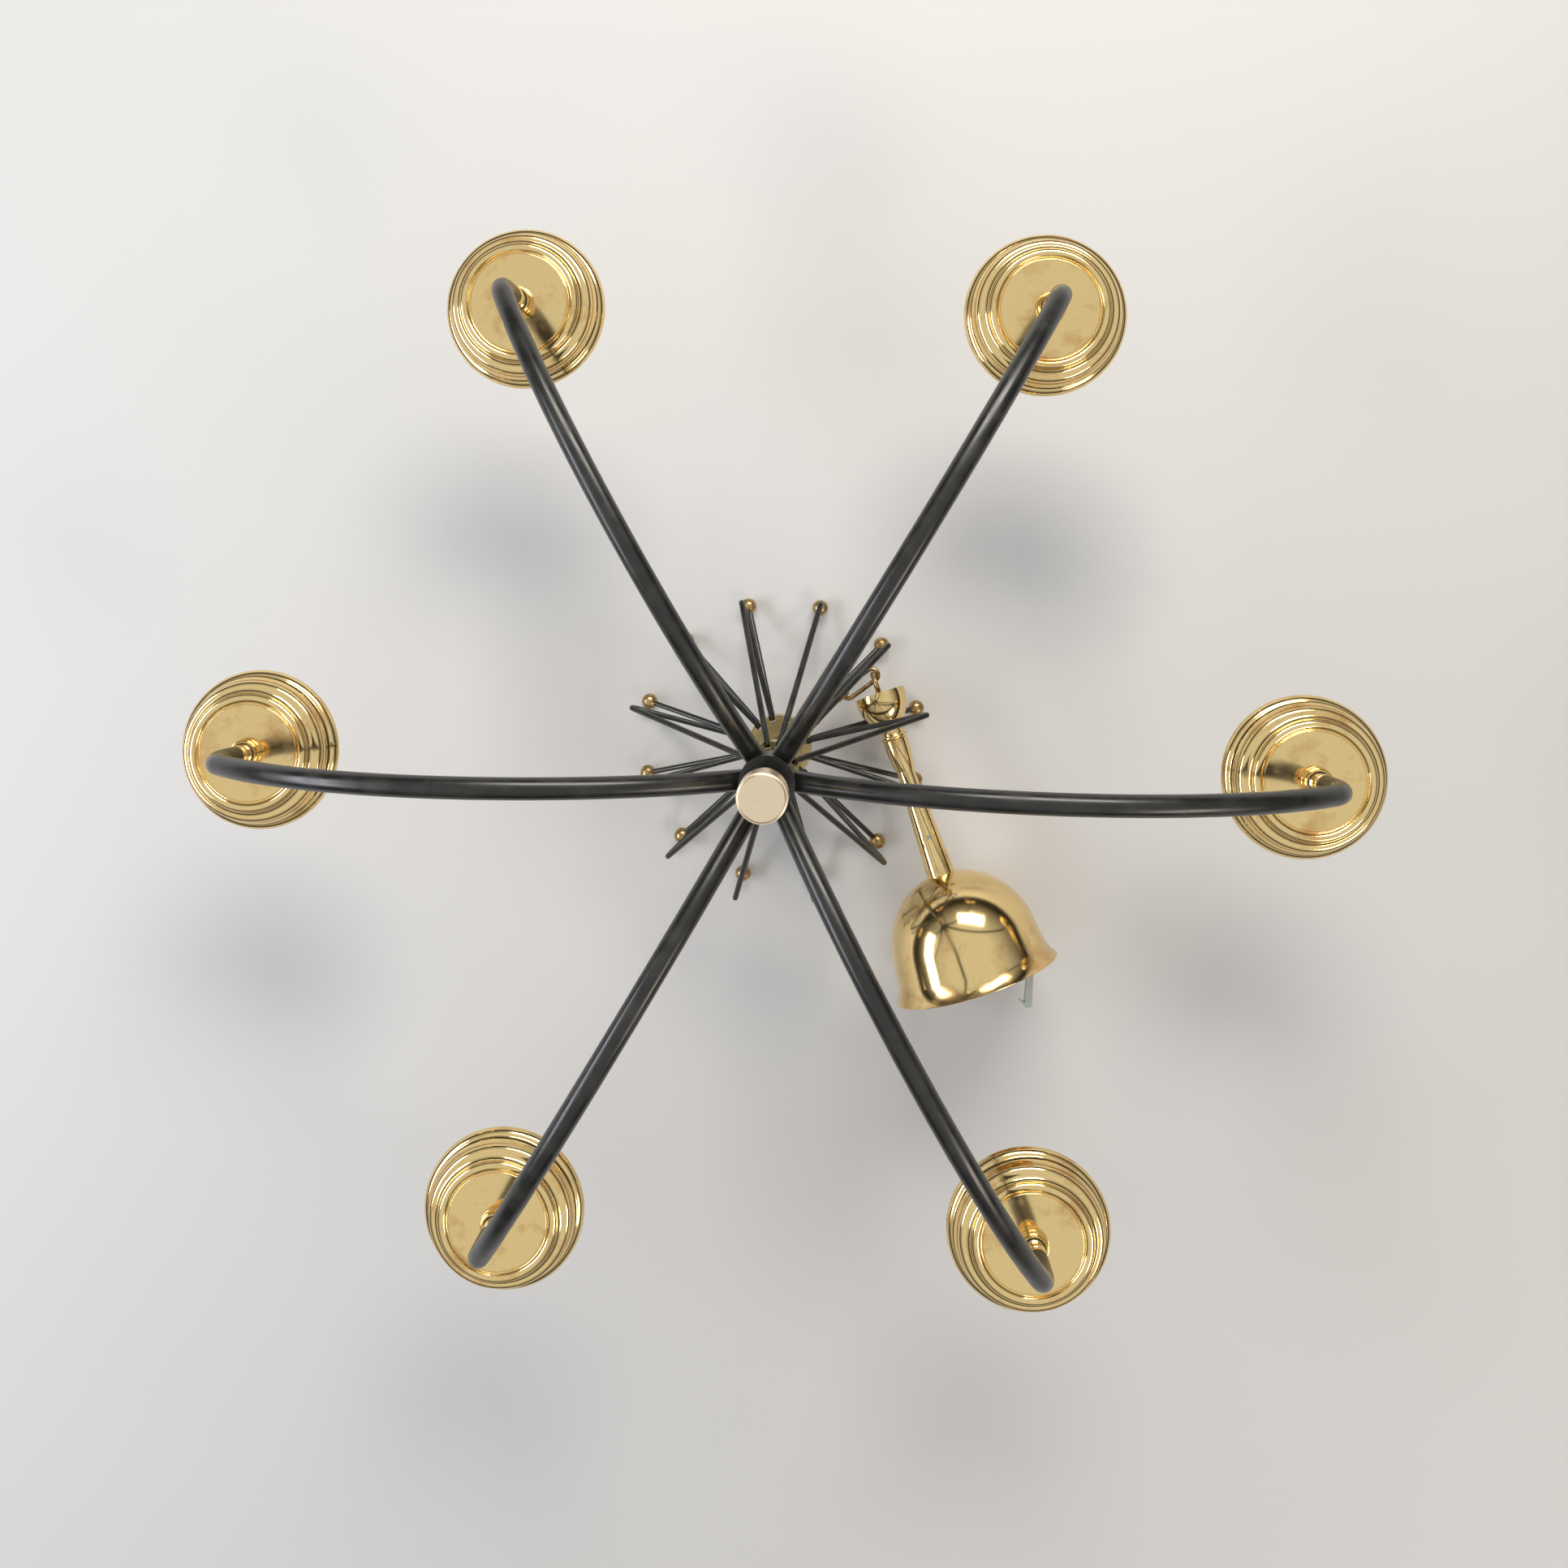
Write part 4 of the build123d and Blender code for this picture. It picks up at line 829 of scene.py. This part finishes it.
def soft_lamp(name, place, size, watts, colour):
    """A soft box, width by height in metres, that looks from its place to the middle of the object."""
    lamp = bpy.data.lights.new(name, "AREA")
    lamp.shape, lamp.size, lamp.size_y, lamp.energy = "RECTANGLE", *size, watts
    lamp.color = linear(colour)[:3]
    holder = bpy.data.objects.new(name, lamp)
    bpy.context.collection.objects.link(holder)
    holder.location = place
    ray = np.array(LAMP_AIM, float) - np.array(place, float)
    tip = math.acos(-ray[2] / np.linalg.norm(ray))
    holder.rotation_euler = (tip, 0, math.atan2(ray[1], ray[0]) - math.pi / 2)


soft_lamp("top_box", place=(0.25, 1.5, 1.25), size=(1.3, 0.5), watts=26, colour="#fffaf0")
soft_lamp("left_box", place=(-1.6, -0.1, 1.0), size=(1.4, 0.4), watts=17, colour="#f4f7ff")
soft_lamp("right_box", place=(1.4, -1.1, 1.2), size=(0.8, 0.4), watts=10, colour="#fff1e0")
print("lamps", [light.name for light in bpy.data.lights])

# %% [markdown]
# ## Camera
# The camera stands almost over the hub, a little beyond it, where the photograph was taken from. Its
# place, its tilt and its roll come from matching the cup rims, the arms, the cap, the collars and the
# star. The photograph is a crop from below the lens's middle, and the lens shift says how far below.

# %% Camera
IMAGE = 1932
FOCAL_PIXELS = 1500.0
SENSOR_MM = 36.0
CAMERA_MM = (35.3, 111.4, 950.0)
TILT_X, TILT_Y, ROLL = -0.0135, -0.0379, -0.0213
LENS_SHIFT_PIXELS = -250


def turn_about(axis, angle):
    """The 3 by 3 matrix that turns by this angle about one axis."""
    c, s = math.cos(angle), math.sin(angle)
    return {"x": np.array([[1, 0, 0], [0, c, -s], [0, s, c]]),
            "y": np.array([[c, 0, s], [0, 1, 0], [-s, 0, c]]),
            "z": np.array([[c, -s, 0], [s, c, 0], [0, 0, 1]])}[axis]


camera_data = bpy.data.cameras.new("camera")
camera_data.sensor_width = SENSOR_MM
camera_data.lens = FOCAL_PIXELS / IMAGE * SENSOR_MM
camera_data.shift_y = LENS_SHIFT_PIXELS / IMAGE
camera_data.clip_start = 0.01
camera = bpy.data.objects.new("camera", camera_data)
bpy.context.collection.objects.link(camera)
to_camera = turn_about("x", TILT_X) @ turn_about("y", TILT_Y) @ turn_about("z", ROLL)
placing = Matrix(to_camera.T.tolist()).to_4x4()
placing.translation = np.array(CAMERA_MM) * MM
camera.matrix_world = placing
bpy.context.scene.camera = camera
bpy.context.scene.view_settings.view_transform = "Standard"
print("lens", round(camera_data.lens, 2), "mm")
